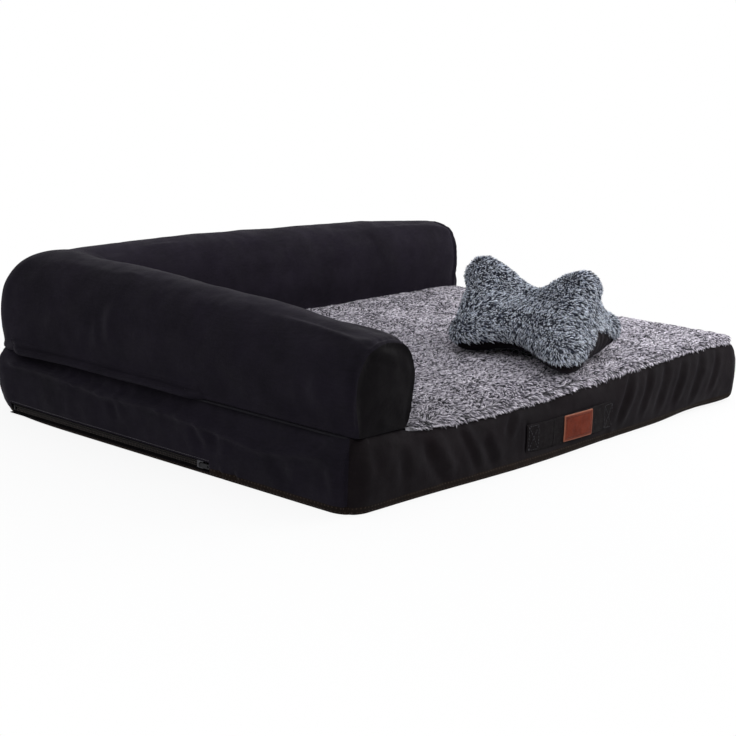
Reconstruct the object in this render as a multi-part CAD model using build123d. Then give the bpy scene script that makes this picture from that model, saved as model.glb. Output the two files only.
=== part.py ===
from build123d import *
from functools import cache
from math import pi, sin, sqrt
import os

# A pet bed: a foam slab in a fitted cloth cover with a plush top, two foam arms that meet in the
# back left corner, two zips, a webbing handle on the front, and a loose bone-shaped pillow.
# The origin is under the middle of the slab, on the floor. Front is -Y, left is -X, up is +Z.

# The slab and its cover
bed_length = 900.0
bed_depth = 672.0
seam_height = 91.0
corner_radius = 34.0
cloth = 1.4
seam_draw = 9.0
floor_draw = 6.0
tray_height = 10.0
corner_seam = 12.0
floor_curve_shares = ((0.0, 1.0), (0.04, 0.5), (0.12, 0.16), (0.4, 0.0))
seam_curve_shares = ((0.7, 0.1), (0.85, 0.36), (0.94, 0.68), (1.0, 1.0))

# The plush top
pile = 9.0
pile_edge = 5.0
seat_crown = 2.5
crown_reach = 85.0
pile_wall_share = 0.55

# The arms
arm_width = 120.0
arm_height = 116.0
arm_foot_draw = 10.0
arm_belly = 46.0
arm_belly_round = 70.0
arm_top_round = 40.0
arm_end_draw = 8.0
arm_end_back = 6.0
arm_corner_radius = 58.0
cap_depth = 4.0
arm_end_run = 60.0
arm_end_shares = ((0.0, 1.0), (0.05, 0.62), (0.16, 0.32), (0.42, 0.1), (1.0, 0.0))

# A zip, the same in both places
tape = 0.6
tape_gap = 0.5
chain_depth = 2.2
chain_bead = 1.0
chain_half = 3.3
tooth_pitch = 3.0
tooth_width = 1.1
tooth_reach = 1.0
zip_bay_depth = 6.6
zip_bay_half = 7.0
hem = 1.0
stop_length = 2.5
run_gap = 0.3
slider_length = 11.0
slider_wall = 1.2
flange_wall = 1.0
bar_radius = 0.6
bar_rise = 1.7
bar_half = 1.7
post_length = 1.2
knuckle_radius = 1.3
knuckle_bore_gap = 0.05
knuckle_half = 1.4
pull_length = 19.0
pull_width = 6.0
pull_thickness = 1.1
pull_hole_radius = 1.4
zip_lead = 15.0
zip_tail = 6.0

# Where the zips start and end, from the bed's front and from its back
base_zip_front = 250.0
base_zip_back = 42.0
base_zip_height = 9.8
base_zip_set = 2.4
arm_zip_front = 284.0
arm_zip_back = 58.0
arm_zip_set = 8.0
flap = 1.2
flap_height = 13.0
flap_drop = 1.5

# The webbing handle and its leather patch
strap = 1.6
strap_width = 38.0
strap_foot = 16.0
strap_left = 366.0
strap_length = 200.0
strap_anchor = 24.0
strap_leg = 34.0
strap_cover = 0.35
patch = 1.5
patch_left = 447.0
patch_length = 65.0
patch_height = 36.0
stitch = 0.5
stitch_width = 1.0
stitch_length = 5.0
stitch_pitch = 8.0
stitch_edge = 3.0

# The bone-shaped pillow
pillow_x = 102.0
pillow_y = -196.0
pillow_turn = 15.6
lobe_spacing = 156.0
lobe_base = 151.0
lobe_height = 76.0
lobe_radius = 28.0
waist_base = 116.0
waist_height = 60.0
waist_radius = 20.0
waist_lift = 10.0
pillow_station_shares = (0.0, 0.33, 0.67, 1.0)
pillow_end_shares = (0.45, 0.8, 0.97)
pillow_cloth = 2.2
pillow_rest_cut = 0.5
pillow_gap = 0.35
top_edge_shares = (0.0, 2.0)
front_edge_shares = (-2.0, -0.9)
back_edge_shares = (2.0, -0.9)

# How far a cutting box runs past what it cuts
overrun = 20.0

half_length = bed_length / 2
half_depth = bed_depth / 2
deck_height = seam_height - cloth
base_zip_run = bed_depth - base_zip_front - base_zip_back
arm_zip_run = bed_depth - arm_zip_front - arm_zip_back


def block(low, high):
    """A box from one corner to the other."""
    size = [b - a for a, b in zip(low, high)]
    return Pos(*low) * Box(*size, align=(Align.MIN, Align.MIN, Align.MIN))


def group(parts):
    """Several small pieces of one kind as one node."""
    return Compound([solid for part in parts for solid in part.solids()])


@cache
def slab_form(inset):
    """The slab's soft box, drawn in at the floor and at the top seam."""
    low, high = inset, seam_height - inset
    levels = [(share, draw_share * floor_draw) for share, draw_share in floor_curve_shares]
    levels += [(share, draw_share * seam_draw) for share, draw_share in seam_curve_shares]
    sections = []
    for share, draw in levels:
        edge = inset + draw
        outline = RectangleRounded(bed_length - 2 * edge, bed_depth - 2 * edge, corner_radius - edge)
        sections.append(Pos(0, 0, low + share * (high - low)) * outline)
    return loft(sections, ruled=True)


def arm_outline(inset):
    """An arm's section: x runs inwards from the bed's edge, y up from the seam."""
    points = [
        (arm_foot_draw + inset, 0),
        (inset, arm_belly),
        (inset, arm_height - inset),
        (arm_width - inset, arm_height - inset),
        (arm_width - inset, arm_belly),
        (arm_width - arm_foot_draw - inset, 0),
    ]
    outline = Polygon(*points, align=None)
    outline = fillet(outline.vertices().sort_by(Axis.Y)[-2:], arm_top_round - inset)
    return fillet(outline.vertices().sort_by(Axis.Y)[2:4], arm_belly_round)


def arm_form(inset, front_end, back_end, place):
    """An arm from its free end to beyond the mitre; place(distance) gives the section's plane."""
    way = 1 if back_end > front_end else -1
    sections = []
    for share, draw_share in arm_end_shares:
        outline = arm_outline(inset + draw_share * arm_end_draw)
        sections.append(place(front_end + way * share * arm_end_run) * outline)
    sections.append(place(back_end) * arm_outline(inset))
    return loft(sections, ruled=True)


def side_arm_plane(y):
    return Plane(origin=(-half_length, y, seam_height), x_dir=(1, 0, 0), z_dir=(0, -1, 0))


def back_arm_plane(x):
    return Plane(origin=(x, half_depth, seam_height), x_dir=(0, -1, 0), z_dir=(-1, 0, 0))


mitre = Plane(origin=(-half_length, half_depth, 0), z_dir=(-1, -1, 0))


def corner_column(inset):
    """The plan that rounds the bed's back left corner, as a tall column."""
    plan = Rectangle(bed_length + 2 * overrun, bed_depth + 2 * overrun)
    plan = Pos(overrun + inset, -overrun - inset, 0) * plan
    corner = plan.vertices().sort_by(Axis.X)[:2].sort_by(Axis.Y)[-1]
    plan = fillet(corner, arm_corner_radius - inset)
    return extrude(Pos(0, 0, seam_height - overrun) * plan, arm_height + 2 * overrun)


@cache
def side_arm(inset):
    front = -half_depth + arm_end_back + inset
    form = arm_form(inset, front, half_depth + overrun, side_arm_plane)
    return split(form, bisect_by=mitre, keep=Keep.TOP) & corner_column(inset)


@cache
def back_arm(inset):
    free_end = half_length - arm_end_back - inset
    form = arm_form(inset, free_end, -half_length - overrun, back_arm_plane)
    return split(form, bisect_by=mitre, keep=Keep.BOTTOM) & corner_column(inset)


def comb(side, length):
    """One half of the chain: a bead with teeth that reach past the middle."""
    phase = 0.0 if side > 0 else tooth_pitch / 2
    root = side * (chain_half - chain_bead)
    tip = -side * tooth_reach
    points = [(0, root)]
    for index in range(int((length - tooth_pitch) / tooth_pitch)):
        start = phase + index * tooth_pitch + tooth_pitch / 4
        points += [(start, root), (start, tip), (start + tooth_width, tip), (start + tooth_width, root)]
    points += [(length, root), (length, side * chain_half), (0, side * chain_half)]
    front = Plane(origin=(-tape, 0, 0), x_dir=(0, 1, 0), z_dir=(1, 0, 0))
    return extrude(front * make_face(Polyline(*points, close=True)), -chain_depth)


def zip_slider():
    """A channel that rides over the chain, with a bar on two posts for the pull."""
    inner_face = -(tape + chain_depth + run_gap)
    outer_face = inner_face - slider_wall
    half = chain_half + run_gap + flange_wall
    body = block((outer_face, 0, -half), (inner_face, slider_length, half))
    for side in (-1, 1):
        low, high = sorted((side * half, side * (half - flange_wall)))
        body += block((inner_face, 0, low), (-(tape + run_gap), slider_length, high))
    bar_x = outer_face - bar_rise
    bar_y = slider_length / 2
    for side in (-1, 1):
        low, high = sorted((side * bar_half, side * (bar_half + post_length)))
        body += block(
            (bar_x - bar_radius, bar_y - bar_radius, low),
            (outer_face, bar_y + bar_radius, high),
        )
    body += Pos(bar_x, bar_y, 0) * Cylinder(bar_radius, 2 * bar_half + 2 * post_length)
    return body


def zip_pull():
    """A flat tab with a knuckle round the slider's bar, lying towards the zip's front end."""
    bar_x = -(tape + chain_depth + run_gap + slider_wall + bar_rise)
    bar_y = slider_length / 2
    half_thickness = pull_thickness / 2
    tab_front = bar_y - pull_length
    tab = block(
        (bar_x - half_thickness, tab_front, -pull_width / 2),
        (bar_x + half_thickness, bar_y - knuckle_radius / 2, pull_width / 2),
    )
    tab = fillet(tab.edges().filter_by(Axis.X).group_by(Axis.Y)[0], pull_width / 3)
    tab -= block(
        (bar_x - overrun, bar_y - 2 * knuckle_radius, bar_half - run_gap),
        (bar_x + overrun, bar_y + overrun, overrun),
    )
    tab -= block(
        (bar_x - overrun, bar_y - 2 * knuckle_radius, -overrun),
        (bar_x + overrun, bar_y + overrun, run_gap - bar_half),
    )
    hole_y = tab_front + pull_width / 2
    hole = Pos(bar_x, hole_y, 0) * Rot(0, 90, 0) * Cylinder(pull_hole_radius, 2 * overrun)
    knuckle = Pos(bar_x, bar_y, 0) * Cylinder(knuckle_radius, 2 * knuckle_half)
    bore = Pos(bar_x, bar_y, 0) * Cylinder(bar_radius + knuckle_bore_gap, 2 * overrun)
    return tab - hole + knuckle - bore


def zip_stops(length):
    """Two stops ahead of the slider and one wide stop at the far end of the chain."""
    outer = -(tape + chain_depth)
    ahead = -run_gap - stop_length
    stops = []
    for side in (-1, 1):
        low, high = sorted((side * tape_gap / 2, side * chain_half))
        stops.append(block((outer, ahead, low), (-tape, ahead + stop_length, high)))
    far = length + run_gap
    stops.append(block((outer, far, -chain_half), (-tape, far + stop_length, chain_half)))
    return group(stops)


def zip_pieces(name, length):
    """Every piece of one zip, at its own origin: outwards is -X, along is +Y."""
    start, stop = -zip_lead, length + zip_tail
    pieces = {}
    hems = []
    for label, side in (("upper", 1), ("lower", -1)):
        low, high = sorted((side * tape_gap / 2, side * zip_bay_half))
        pieces[f"{name}_zip_tape_{label}"] = block((-tape, start, low), (0, stop, high))
        pieces[f"{name}_zip_teeth_{label}"] = comb(side, length)
        low, high = sorted((side * (zip_bay_half - hem), side * zip_bay_half))
        hems.append(block((-zip_bay_depth, start, low), (-tape, stop, high)))
    pieces[f"{name}_zip_hems"] = group(hems)
    pieces[f"{name}_zip_slider"] = zip_slider()
    pieces[f"{name}_zip_pull"] = zip_pull()
    pieces[f"{name}_zip_stops"] = zip_stops(length)
    return pieces


def zip_bay(length):
    return block(
        (-bed_length, -zip_lead, -zip_bay_half),
        (0, length + zip_tail, zip_bay_half),
    )


def front_patch(inner, outer, left, right, low, high):
    """The layer between two growths of the slab's form, over one window of its front."""
    window = block((left, -half_depth - overrun, low), (right, -half_depth + overrun, high))
    return (slab_form(-outer) & window) - slab_form(-inner)


nodes = {}

# The slab's foam, its cover and the floor of the arms' pocket
slab_outer = slab_form(0)
slab_foam = slab_form(cloth)
cover = slab_outer - slab_foam
bottom = cover & block((-bed_length, -bed_depth, 0), (bed_length, bed_depth, tray_height))
walls = cover & block((-bed_length, -bed_depth, tray_height), (bed_length, bed_depth, deck_height))
front_line = -half_depth + corner_seam
back_line = half_depth - corner_seam
front_panel = walls & block((-bed_length, -bed_depth, 0), (bed_length, front_line, seam_height))
back_panel = walls & block((-bed_length, back_line, 0), (bed_length, bed_depth, seam_height))
middle = walls & block((-bed_length, front_line, 0), (bed_length, back_line, seam_height))
left_panel = middle & block((-bed_length, front_line, 0), (0, back_line, seam_height))
right_panel = middle & block((0, front_line, 0), (bed_length, back_line, seam_height))

deck = cover & block((-bed_length, -bed_depth, deck_height), (bed_length, bed_depth, seam_height))
seat_left = -half_length + arm_width - arm_foot_draw
seat_back = half_depth - arm_width + arm_foot_draw
seat_window = block((seat_left, -bed_depth, 0), (bed_length, seat_back, 2 * seam_height))
pocket_floor = deck - seat_window

# The arms, each a foam and a cloth cover with a sewn end cap
side_foam = side_arm(cloth)
back_foam = back_arm(cloth)
side_skin = side_arm(0) - side_foam
back_skin = back_arm(0) - back_foam
cap_front_line = -half_depth + arm_end_back + cap_depth
cap_right_line = half_length - arm_end_back - cap_depth
front_cap_window = block((-bed_length, -bed_depth, 0), (0, cap_front_line, 3 * seam_height))
right_cap_window = block((cap_right_line, 0, 0), (bed_length, bed_depth, 3 * seam_height))

# The two zips
base_zip_y = -half_depth + base_zip_front
base_zip_place = Pos(-half_length + base_zip_set + zip_bay_depth, base_zip_y, base_zip_height)
arm_zip_y = -half_depth + arm_zip_front
arm_zip_height = seam_height + zip_bay_half
arm_zip_place = Pos(-half_length + arm_zip_set + zip_bay_depth, arm_zip_y, arm_zip_height)
base_bay = base_zip_place * zip_bay(base_zip_run)
arm_bay = arm_zip_place * zip_bay(arm_zip_run)

nodes["mattress_foam"] = slab_foam - base_bay
nodes["bottom_panel"] = bottom - base_bay
nodes["front_panel"] = front_panel
nodes["back_panel"] = back_panel
nodes["left_panel"] = left_panel - base_bay
nodes["right_panel"] = right_panel
nodes["arm_pocket_floor"] = pocket_floor
nodes["side_arm_foam"] = side_foam - arm_bay
nodes["back_arm_foam"] = back_foam
nodes["side_arm_cover"] = side_skin - front_cap_window - arm_bay
nodes["back_arm_cover"] = back_skin - right_cap_window
nodes["side_arm_end_cap"] = side_skin & front_cap_window
nodes["back_arm_end_cap"] = back_skin & right_cap_window

for key, piece in zip_pieces("base", base_zip_run).items():
    nodes[key] = group([base_zip_place * solid for solid in piece.solids()])
for key, piece in zip_pieces("arm", arm_zip_run).items():
    nodes[key] = group([arm_zip_place * solid for solid in piece.solids()])

# The cloth flap over the arm's zip lies on the arm's cover
flap_low = arm_zip_height + zip_bay_half - flap_drop
flap_window = block(
    (-bed_length, arm_zip_y - zip_lead, flap_low),
    (arm_width / 2 - half_length, arm_zip_y + arm_zip_run + zip_tail, flap_low + flap_height),
)
nodes["arm_zip_flap"] = (side_arm(-flap) - side_arm(0)) & flap_window

# The plush top fills the seat between the arms and the front and right seams
plush_length = half_length - seam_draw - seat_left + arm_foot_draw
plush_depth = seat_back + arm_foot_draw + half_depth - seam_draw
plush_centre = Pos(
    half_length - seam_draw - plush_length / 2, -half_depth + seam_draw + plush_depth / 2, 0
)


def plush_section(height, inset):
    corner = corner_radius - seam_draw - min(inset, pile_edge)
    outline = RectangleRounded(plush_length - 2 * inset, plush_depth - 2 * inset, corner)
    return plush_centre * Pos(0, 0, height) * outline


pile_wall = cloth + pile_wall_share * pile
seat_height = seam_height + pile
plush_sections = [
    plush_section(deck_height, 0),
    plush_section(deck_height + pile_wall, 0),
    plush_section(seat_height, pile_edge),
    plush_section(seat_height + seat_crown, crown_reach),
]
plush = loft(plush_sections, ruled=True)
nodes["plush_top"] = plush - pocket_floor - side_arm(0) - back_arm(0)

# The handle: two sewn ends, two free legs, the middle that is gripped, and the leather patch
strap_low = strap_foot
strap_high = strap_foot + strap_width
left_edge = -half_length + strap_left
right_edge = left_edge + strap_length
left_anchor = left_edge + strap_anchor
right_anchor = right_edge - strap_anchor
left_leg = left_anchor + strap_leg
right_leg = right_anchor - strap_leg
nodes["handle_end_left"] = front_patch(0, strap, left_edge, left_anchor, strap_low, strap_high)
nodes["handle_end_right"] = front_patch(0, strap, right_anchor, right_edge, strap_low, strap_high)
nodes["handle_leg_left"] = front_patch(0, strap, left_anchor, left_leg, strap_low, strap_high)
nodes["handle_leg_right"] = front_patch(0, strap, right_leg, right_anchor, strap_low, strap_high)
grip_left = left_leg + run_gap
grip_right = right_leg - run_gap
grip_outer = strap_cover + strap
nodes["handle_grip"] = front_patch(strap_cover, grip_outer, grip_left, grip_right, strap_low, strap_high)
patch_start = -half_length + patch_left
patch_low = strap_low + (strap_width - patch_height) / 2
patch_outer = grip_outer + patch
nodes["handle_patch"] = front_patch(
    grip_outer, patch_outer, patch_start, patch_start + patch_length, patch_low, patch_low + patch_height
)


def stitch_row(inner, left, right, low):
    """A row of stitches along X, each its own small solid."""
    layer = front_patch(inner, inner + stitch, left, right, low, low + stitch_width)
    count = int((right - left) / stitch_pitch)
    start = (left + right - (count - 1) * stitch_pitch - stitch_length) / 2
    row = []
    for index in range(count):
        x = start + index * stitch_pitch
        cut = block((x, -bed_depth, 0), (x + stitch_length, 0, seam_height))
        row.append(layer & cut)
    return row


end_stitches = []
for left, right in ((left_edge, left_anchor), (right_anchor, right_edge)):
    for low in (strap_low + stitch_edge, strap_high - stitch_edge - stitch_width):
        end_stitches += stitch_row(strap, left, right, low)
nodes["handle_stitches"] = group(end_stitches)
patch_stitches = []
for low in (patch_low + stitch_edge, patch_low + patch_height - stitch_edge - stitch_width):
    patch_stitches += stitch_row(patch_outer, patch_start, patch_start + patch_length, low)
nodes["patch_stitches"] = group(patch_stitches)


# The pillow: three panels round a stuffed body, with a lobe at each end of each edge
def pillow_section(inset, y, base, height, radius, lift, shrink=0.0):
    """A rounded triangle across the pillow; base and height are between its corners' centres."""
    low = lift + radius
    centres = Polygon((-base / 2, low), (base / 2, low), (0, low + height), align=None)
    plane = Plane(origin=(0, y, 0), x_dir=(1, 0, 0), z_dir=(0, -1, 0))
    return plane * offset(centres, amount=radius - inset - shrink)


def pillow_form(inset):
    """The stuffed body: a waist that swells to the lobes and closes round at both ends."""
    lobe = lobe_spacing / 2
    half = []
    for share in pillow_station_shares:
        swell = sin(share * pi / 2) ** 2
        base = waist_base + swell * (lobe_base - waist_base)
        height = waist_height + swell * (lobe_height - waist_height)
        radius = waist_radius + swell * (lobe_radius - waist_radius)
        half.append((share * lobe, base, height, radius, waist_lift * (1 - swell)))
    for share in pillow_end_shares:
        shrink = (lobe_radius - inset) * (1 - sqrt(1 - share**2))
        reach = lobe + share * (lobe_radius - inset)
        half.append((reach, lobe_base, lobe_height, lobe_radius, 0, shrink))
    stations = [(-station[0], *station[1:]) for station in reversed(half[1:])] + half
    return loft([pillow_section(inset, *station) for station in stations])


def pillow_wedge(first, second):
    """A prism from the pillow's heart out past two of its edges, which are shares of the reach."""
    reach = lobe_base + lobe_height
    heart = (0, lobe_radius + lobe_height / 3)
    plane = Plane(origin=(0, 0, 0), x_dir=(1, 0, 0), z_dir=(0, -1, 0))
    points = [heart, (first[0] * reach, first[1] * reach), (second[0] * reach, second[1] * reach)]
    return extrude(plane * Polygon(*points, align=None), reach, both=True)


pillow_outer = pillow_form(0)
stuffing = pillow_form(pillow_cloth)
rest_plane = block(
    (-bed_length, -bed_depth, -overrun), (bed_length, bed_depth, pillow_rest_cut)
)
skin = pillow_outer - stuffing - rest_plane
pillow_foot = seat_height + seat_crown + pillow_gap - pillow_rest_cut
pillow_place = Pos(pillow_x, pillow_y, pillow_foot) * Rot(0, 0, pillow_turn)
nodes["pillow_stuffing"] = pillow_place * stuffing
nodes["pillow_front_panel"] = pillow_place * (skin & pillow_wedge(top_edge_shares, front_edge_shares))
nodes["pillow_back_panel"] = pillow_place * (skin & pillow_wedge(top_edge_shares, back_edge_shares))
nodes["pillow_bottom_panel"] = pillow_place * (skin & pillow_wedge(front_edge_shares, back_edge_shares))

os.makedirs("parts", exist_ok=True)
for key, shape in nodes.items():
    export_step(shape, f"parts/{key}.step")
    print(key, len(shape.solids()), round(shape.volume))
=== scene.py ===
import math

import bpy
import numpy as np
from mathutils import Matrix, Vector


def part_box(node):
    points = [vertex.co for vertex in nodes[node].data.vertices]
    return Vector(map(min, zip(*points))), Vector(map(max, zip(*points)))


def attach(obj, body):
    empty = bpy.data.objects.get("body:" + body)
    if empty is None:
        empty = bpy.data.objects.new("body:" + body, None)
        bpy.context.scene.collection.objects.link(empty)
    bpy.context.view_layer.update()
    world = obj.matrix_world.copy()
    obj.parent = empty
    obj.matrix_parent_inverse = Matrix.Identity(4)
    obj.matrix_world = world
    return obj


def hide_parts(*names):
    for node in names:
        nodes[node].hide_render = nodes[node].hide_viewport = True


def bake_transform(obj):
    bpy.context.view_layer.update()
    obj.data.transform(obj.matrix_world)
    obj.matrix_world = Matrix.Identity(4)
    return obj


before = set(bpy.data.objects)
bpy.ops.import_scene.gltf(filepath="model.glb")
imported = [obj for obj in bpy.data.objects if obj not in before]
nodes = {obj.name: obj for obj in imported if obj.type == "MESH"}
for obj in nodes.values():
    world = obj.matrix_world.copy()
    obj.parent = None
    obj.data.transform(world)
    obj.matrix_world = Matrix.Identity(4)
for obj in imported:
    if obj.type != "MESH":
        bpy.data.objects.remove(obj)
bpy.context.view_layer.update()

# The pet bed's looks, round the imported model. Lengths are in metres, in the model's frame: front is -Y,
# left is -X, and the floor is at zero.
rng = np.random.default_rng(7)
MM = 0.001
# Further than any place on the bed
FAR = 9.0


def span(*names):
    """The lowest and highest corner of several CAD nodes together."""
    boxes = [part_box(n) for n in names]
    return np.min([b[0] for b in boxes], axis=0), np.max([b[1] for b in boxes], axis=0)


slab_high = span("front_panel", "back_panel", "left_panel", "right_panel", "bottom_panel")[1]
side_low = span("side_arm_cover", "side_arm_end_cap")[0]
back_low, back_high = span("back_arm_cover", "back_arm_end_cap")
half_length, half_depth = slab_high[0], slab_high[1]
seam_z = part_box("arm_pocket_floor")[1][2]
arm_top = back_high[2]
arm_width = back_high[1] - back_low[1]
arm_height = arm_top - seam_z
cap_front, cap_right = side_low[1], back_high[0]
tray_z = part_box("bottom_panel")[1][2]
corner_radius = 34 * MM
corner_seam = 12 * MM

# The photograph's camera, from a fit to the bed's corners, in its own 736 pixel frame
PHOTO = 736
FOCAL = 1709.8
AZIMUTH, ELEVATION, ROLL = math.radians(-49.417), math.radians(11.862), math.radians(2.235)
DISTANCE = 2.7962 * 2 * half_length
SHIFT_RIGHT, SHIFT_DOWN = 5.60, -26.81
aim = np.array([0.0, 0.4 * 2 * half_length - half_depth, 0.1 * 2 * half_length])
cam_back = np.array([
    math.sin(AZIMUTH) * math.cos(ELEVATION), -math.cos(AZIMUTH) * math.cos(ELEVATION), math.sin(ELEVATION)
])
level = np.array([math.cos(AZIMUTH), math.sin(AZIMUTH), 0.0])
upright = np.cross(cam_back, level)
cam_right = level * math.cos(ROLL) + upright * math.sin(ROLL)
cam_up = upright * math.cos(ROLL) - level * math.sin(ROLL)
cam_place = aim + cam_back * DISTANCE


def seen(px, py, axis, value):
    """Where the ray through a pixel of the photograph meets a plane of the bed."""
    across = (px - PHOTO / 2 - SHIFT_RIGHT) / FOCAL
    down = (py - PHOTO / 2 - SHIFT_DOWN) / FOCAL
    ray = cam_right * across - cam_up * down - cam_back
    return cam_place + ray * (value - cam_place[axis]) / ray[axis]


# Tools for meshes

def noise(points, size, seed=0):
    """Smooth values from -1 to 1 that change over about the given size. The large numbers only mix bits."""
    p = np.asarray(points, float) / size + seed * 7.31
    cell = np.floor(p).astype(np.int64)
    f = p - cell
    f = f * f * (3 - 2 * f)
    total = np.zeros(len(p))
    for corner in range(8):
        step = np.array([corner & 1, corner >> 1 & 1, corner >> 2 & 1])
        c = cell + step
        h = (c[:, 0] * 374761393 + c[:, 1] * 668265263 + c[:, 2] * 1274126177 + seed * 974711) & 0xFFFFFFFF
        h = ((h ^ (h >> 13)) * 1103515245) & 0xFFFFFFFF
        h = h ^ (h >> 16)
        weight = np.prod(np.where(step == 1, f, 1 - f), axis=1)
        total += weight * ((h & 0xFFFF) / 32767.5 - 1)
    return total


def layered(points, size, seed=0, layers=3):
    """Noise at several sizes, each half of the last."""
    return sum(noise(points, size / 2**k, seed + k) / 2**k for k in range(layers))


def crumple(points, size, seed=0):
    """Slanting soft creases, such as thin cloth shows where it has been bent."""
    x, y, z = points.T
    slanted = np.column_stack([x + y + 1.2 * z, 2.2 * z - x, y])
    line = noise(slanted, size, seed) + 0.35 * noise(slanted, size / 2.6, seed + 1)
    return bell(line, 0.10) * np.clip(noise(points, 1.7 * size, seed + 2) + 0.15, 0, 1)


def smooth(t):
    """An even step from 0 to 1."""
    t = np.clip(t, 0, 1)
    return t * t * (3 - 2 * t)


def bell(x, width):
    """1 at zero, and falling off on both sides over the width."""
    return np.exp(-((x / width) ** 2))


def fading(x, reach):
    """1 up to zero, and fading out over the reach."""
    return np.exp(-np.maximum(x, 0) / reach)


def unit(vectors, least=1e-9):
    """The vectors, one in each row, brought to length 1."""
    return vectors / np.maximum(np.linalg.norm(vectors, axis=1), least)[:, None]


def build(name, points, faces, material, soft=True):
    """A mesh object from points and faces, each face a tuple of point numbers."""
    mesh = bpy.data.meshes.new(name)
    mesh.from_pydata(np.asarray(points, float).tolist(), [], [tuple(int(i) for i in f) for f in faces])
    mesh.update()
    if soft:
        mesh.shade_smooth()
    obj = bpy.data.objects.new(name, mesh)
    bpy.context.scene.collection.objects.link(obj)
    obj.data.materials.append(material)
    return obj


def vectors_of(items, key):
    """A vector of each of a mesh's items, one in each row."""
    flat = np.zeros(len(items) * 3)
    items.foreach_get(key, flat)
    return flat.reshape(-1, 3)


def coords(obj):
    return vectors_of(obj.data.vertices, "co")


def normals_of(obj):
    return vectors_of(obj.data.vertex_normals, "vector")


def put(obj, co):
    obj.data.vertices.foreach_set("co", np.asarray(co, float).ravel())
    obj.data.update()


def strip_faces(rows, columns, wrap=False, start=0):
    """The faces of a grid whose points run row by row."""
    faces = []
    last = columns if wrap else columns - 1
    for r in range(rows - 1):
        for c in range(last):
            d = (c + 1) % columns
            faces.append((start + r * columns + c, start + r * columns + d,
                          start + (r + 1) * columns + d, start + (r + 1) * columns + c))
    return faces


CREASE_TAPER = 0.3


def folds(points, normals, lines):
    """How far creases press a surface in, and lift the cloth beside them. A line is its path, width,
    depth and the height of the ridge on its left."""
    shift = np.zeros(len(points))
    for path, width, depth, ridge in lines:
        path = [np.asarray(p, float) for p in path]
        lengths = [np.linalg.norm(b - a) for a, b in zip(path[:-1], path[1:])]
        total, gone = sum(lengths), 0.0
        nearest = np.full(len(points), FAR)
        along, side = np.zeros(len(points)), np.zeros(len(points))
        for (a, b), length in zip(zip(path[:-1], path[1:]), lengths):
            ab = b - a
            t = np.clip((points - a) @ ab / (length * length), 0, 1)
            off = points - a - t[:, None] * ab
            d = np.linalg.norm(off, axis=1)
            hit = d < nearest
            nearest[hit] = d[hit]
            along[hit] = (gone + t[hit] * length) / total
            side[hit] = np.sign(np.einsum("ij,ij->i", np.cross(normals[hit], ab), off[hit]))
            gone += length
        taper = smooth(along / CREASE_TAPER) * smooth((1 - along) / CREASE_TAPER)
        valley = bell(nearest, width)
        beside = bell(nearest - 1.9 * width, width)
        shift += taper * (ridge * beside * np.where(side > 0, 1.0, 0.3) - depth * valley)
    return shift


SWELL_FRAMES = 20


def swell(obj, held, pressure, most, tight=None, slack=-0.02, drawn=0.05, stiffness=15.0):
    """Blows the cloth up from inside, and keeps where it comes to rest. No point moves further than most."""
    start = coords(obj)
    pins = obj.vertex_groups.new(name="pins")
    pins.add([int(i) for i in np.flatnonzero(held)], 1.0, "REPLACE")
    modifier = obj.modifiers.new("Swell", "CLOTH")
    cloth = modifier.settings
    cloth.quality = 6
    cloth.mass = 0.25
    cloth.tension_stiffness = stiffness
    cloth.compression_stiffness = stiffness
    cloth.shear_stiffness = stiffness / 3
    cloth.bending_stiffness = 0.4
    cloth.use_pressure = True
    cloth.uniform_pressure_force = pressure
    cloth.vertex_group_mass = "pins"
    cloth.shrink_min = slack
    if tight is not None:
        group = obj.vertex_groups.new(name="tight")
        for i in np.flatnonzero(tight > 0.02):
            group.add([int(i)], float(min(1, tight[i])), "REPLACE")
        cloth.vertex_group_shrink = "tight"
        cloth.shrink_max = drawn
    cloth.effector_weights.gravity = 0
    scene = bpy.context.scene
    for f in range(1, SWELL_FRAMES + 1):
        scene.frame_set(f)
    done = obj.evaluated_get(bpy.context.evaluated_depsgraph_get())
    mesh = done.to_mesh()
    end = vectors_of(mesh.vertices, "co")
    done.to_mesh_clear()
    obj.modifiers.remove(modifier)
    obj.vertex_groups.clear()
    scene.frame_set(1)
    move = end - start
    far = np.linalg.norm(move, axis=1)
    move *= (most * np.tanh(far / most) / np.maximum(far, 1e-9))[:, None]
    put(obj, start + np.nan_to_num(move))


def ease(obj, times=1, share=0.5, keep=None):
    """Moves each point towards the middle of its neighbours."""
    edges = np.zeros(len(obj.data.edges) * 2, int)
    obj.data.edges.foreach_get("vertices", edges)
    a, b = edges.reshape(-1, 2).T
    co = coords(obj)
    count = np.zeros(len(co))
    np.add.at(count, a, 1)
    np.add.at(count, b, 1)
    for _ in range(times):
        total = np.zeros_like(co)
        np.add.at(total, a, co[b])
        np.add.at(total, b, co[a])
        move = share * (total / np.maximum(count, 1)[:, None] - co)
        if keep is not None:
            move[keep] = 0
        co = co + move
    put(obj, co)


def subdivide(obj, levels=1):
    modifier = obj.modifiers.new("Round", "SUBSURF")
    modifier.levels = levels
    modifier.render_levels = levels


# Materials

def srgb(r, g, b):
    """A colour as a paint program gives it, in the numbers that Blender takes."""
    lin = [((c / 255 + 0.055) / 1.055) ** 2.4 if c > 10 else c / 255 / 12.92 for c in (r, g, b)]
    return (*lin, 1.0)


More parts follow.
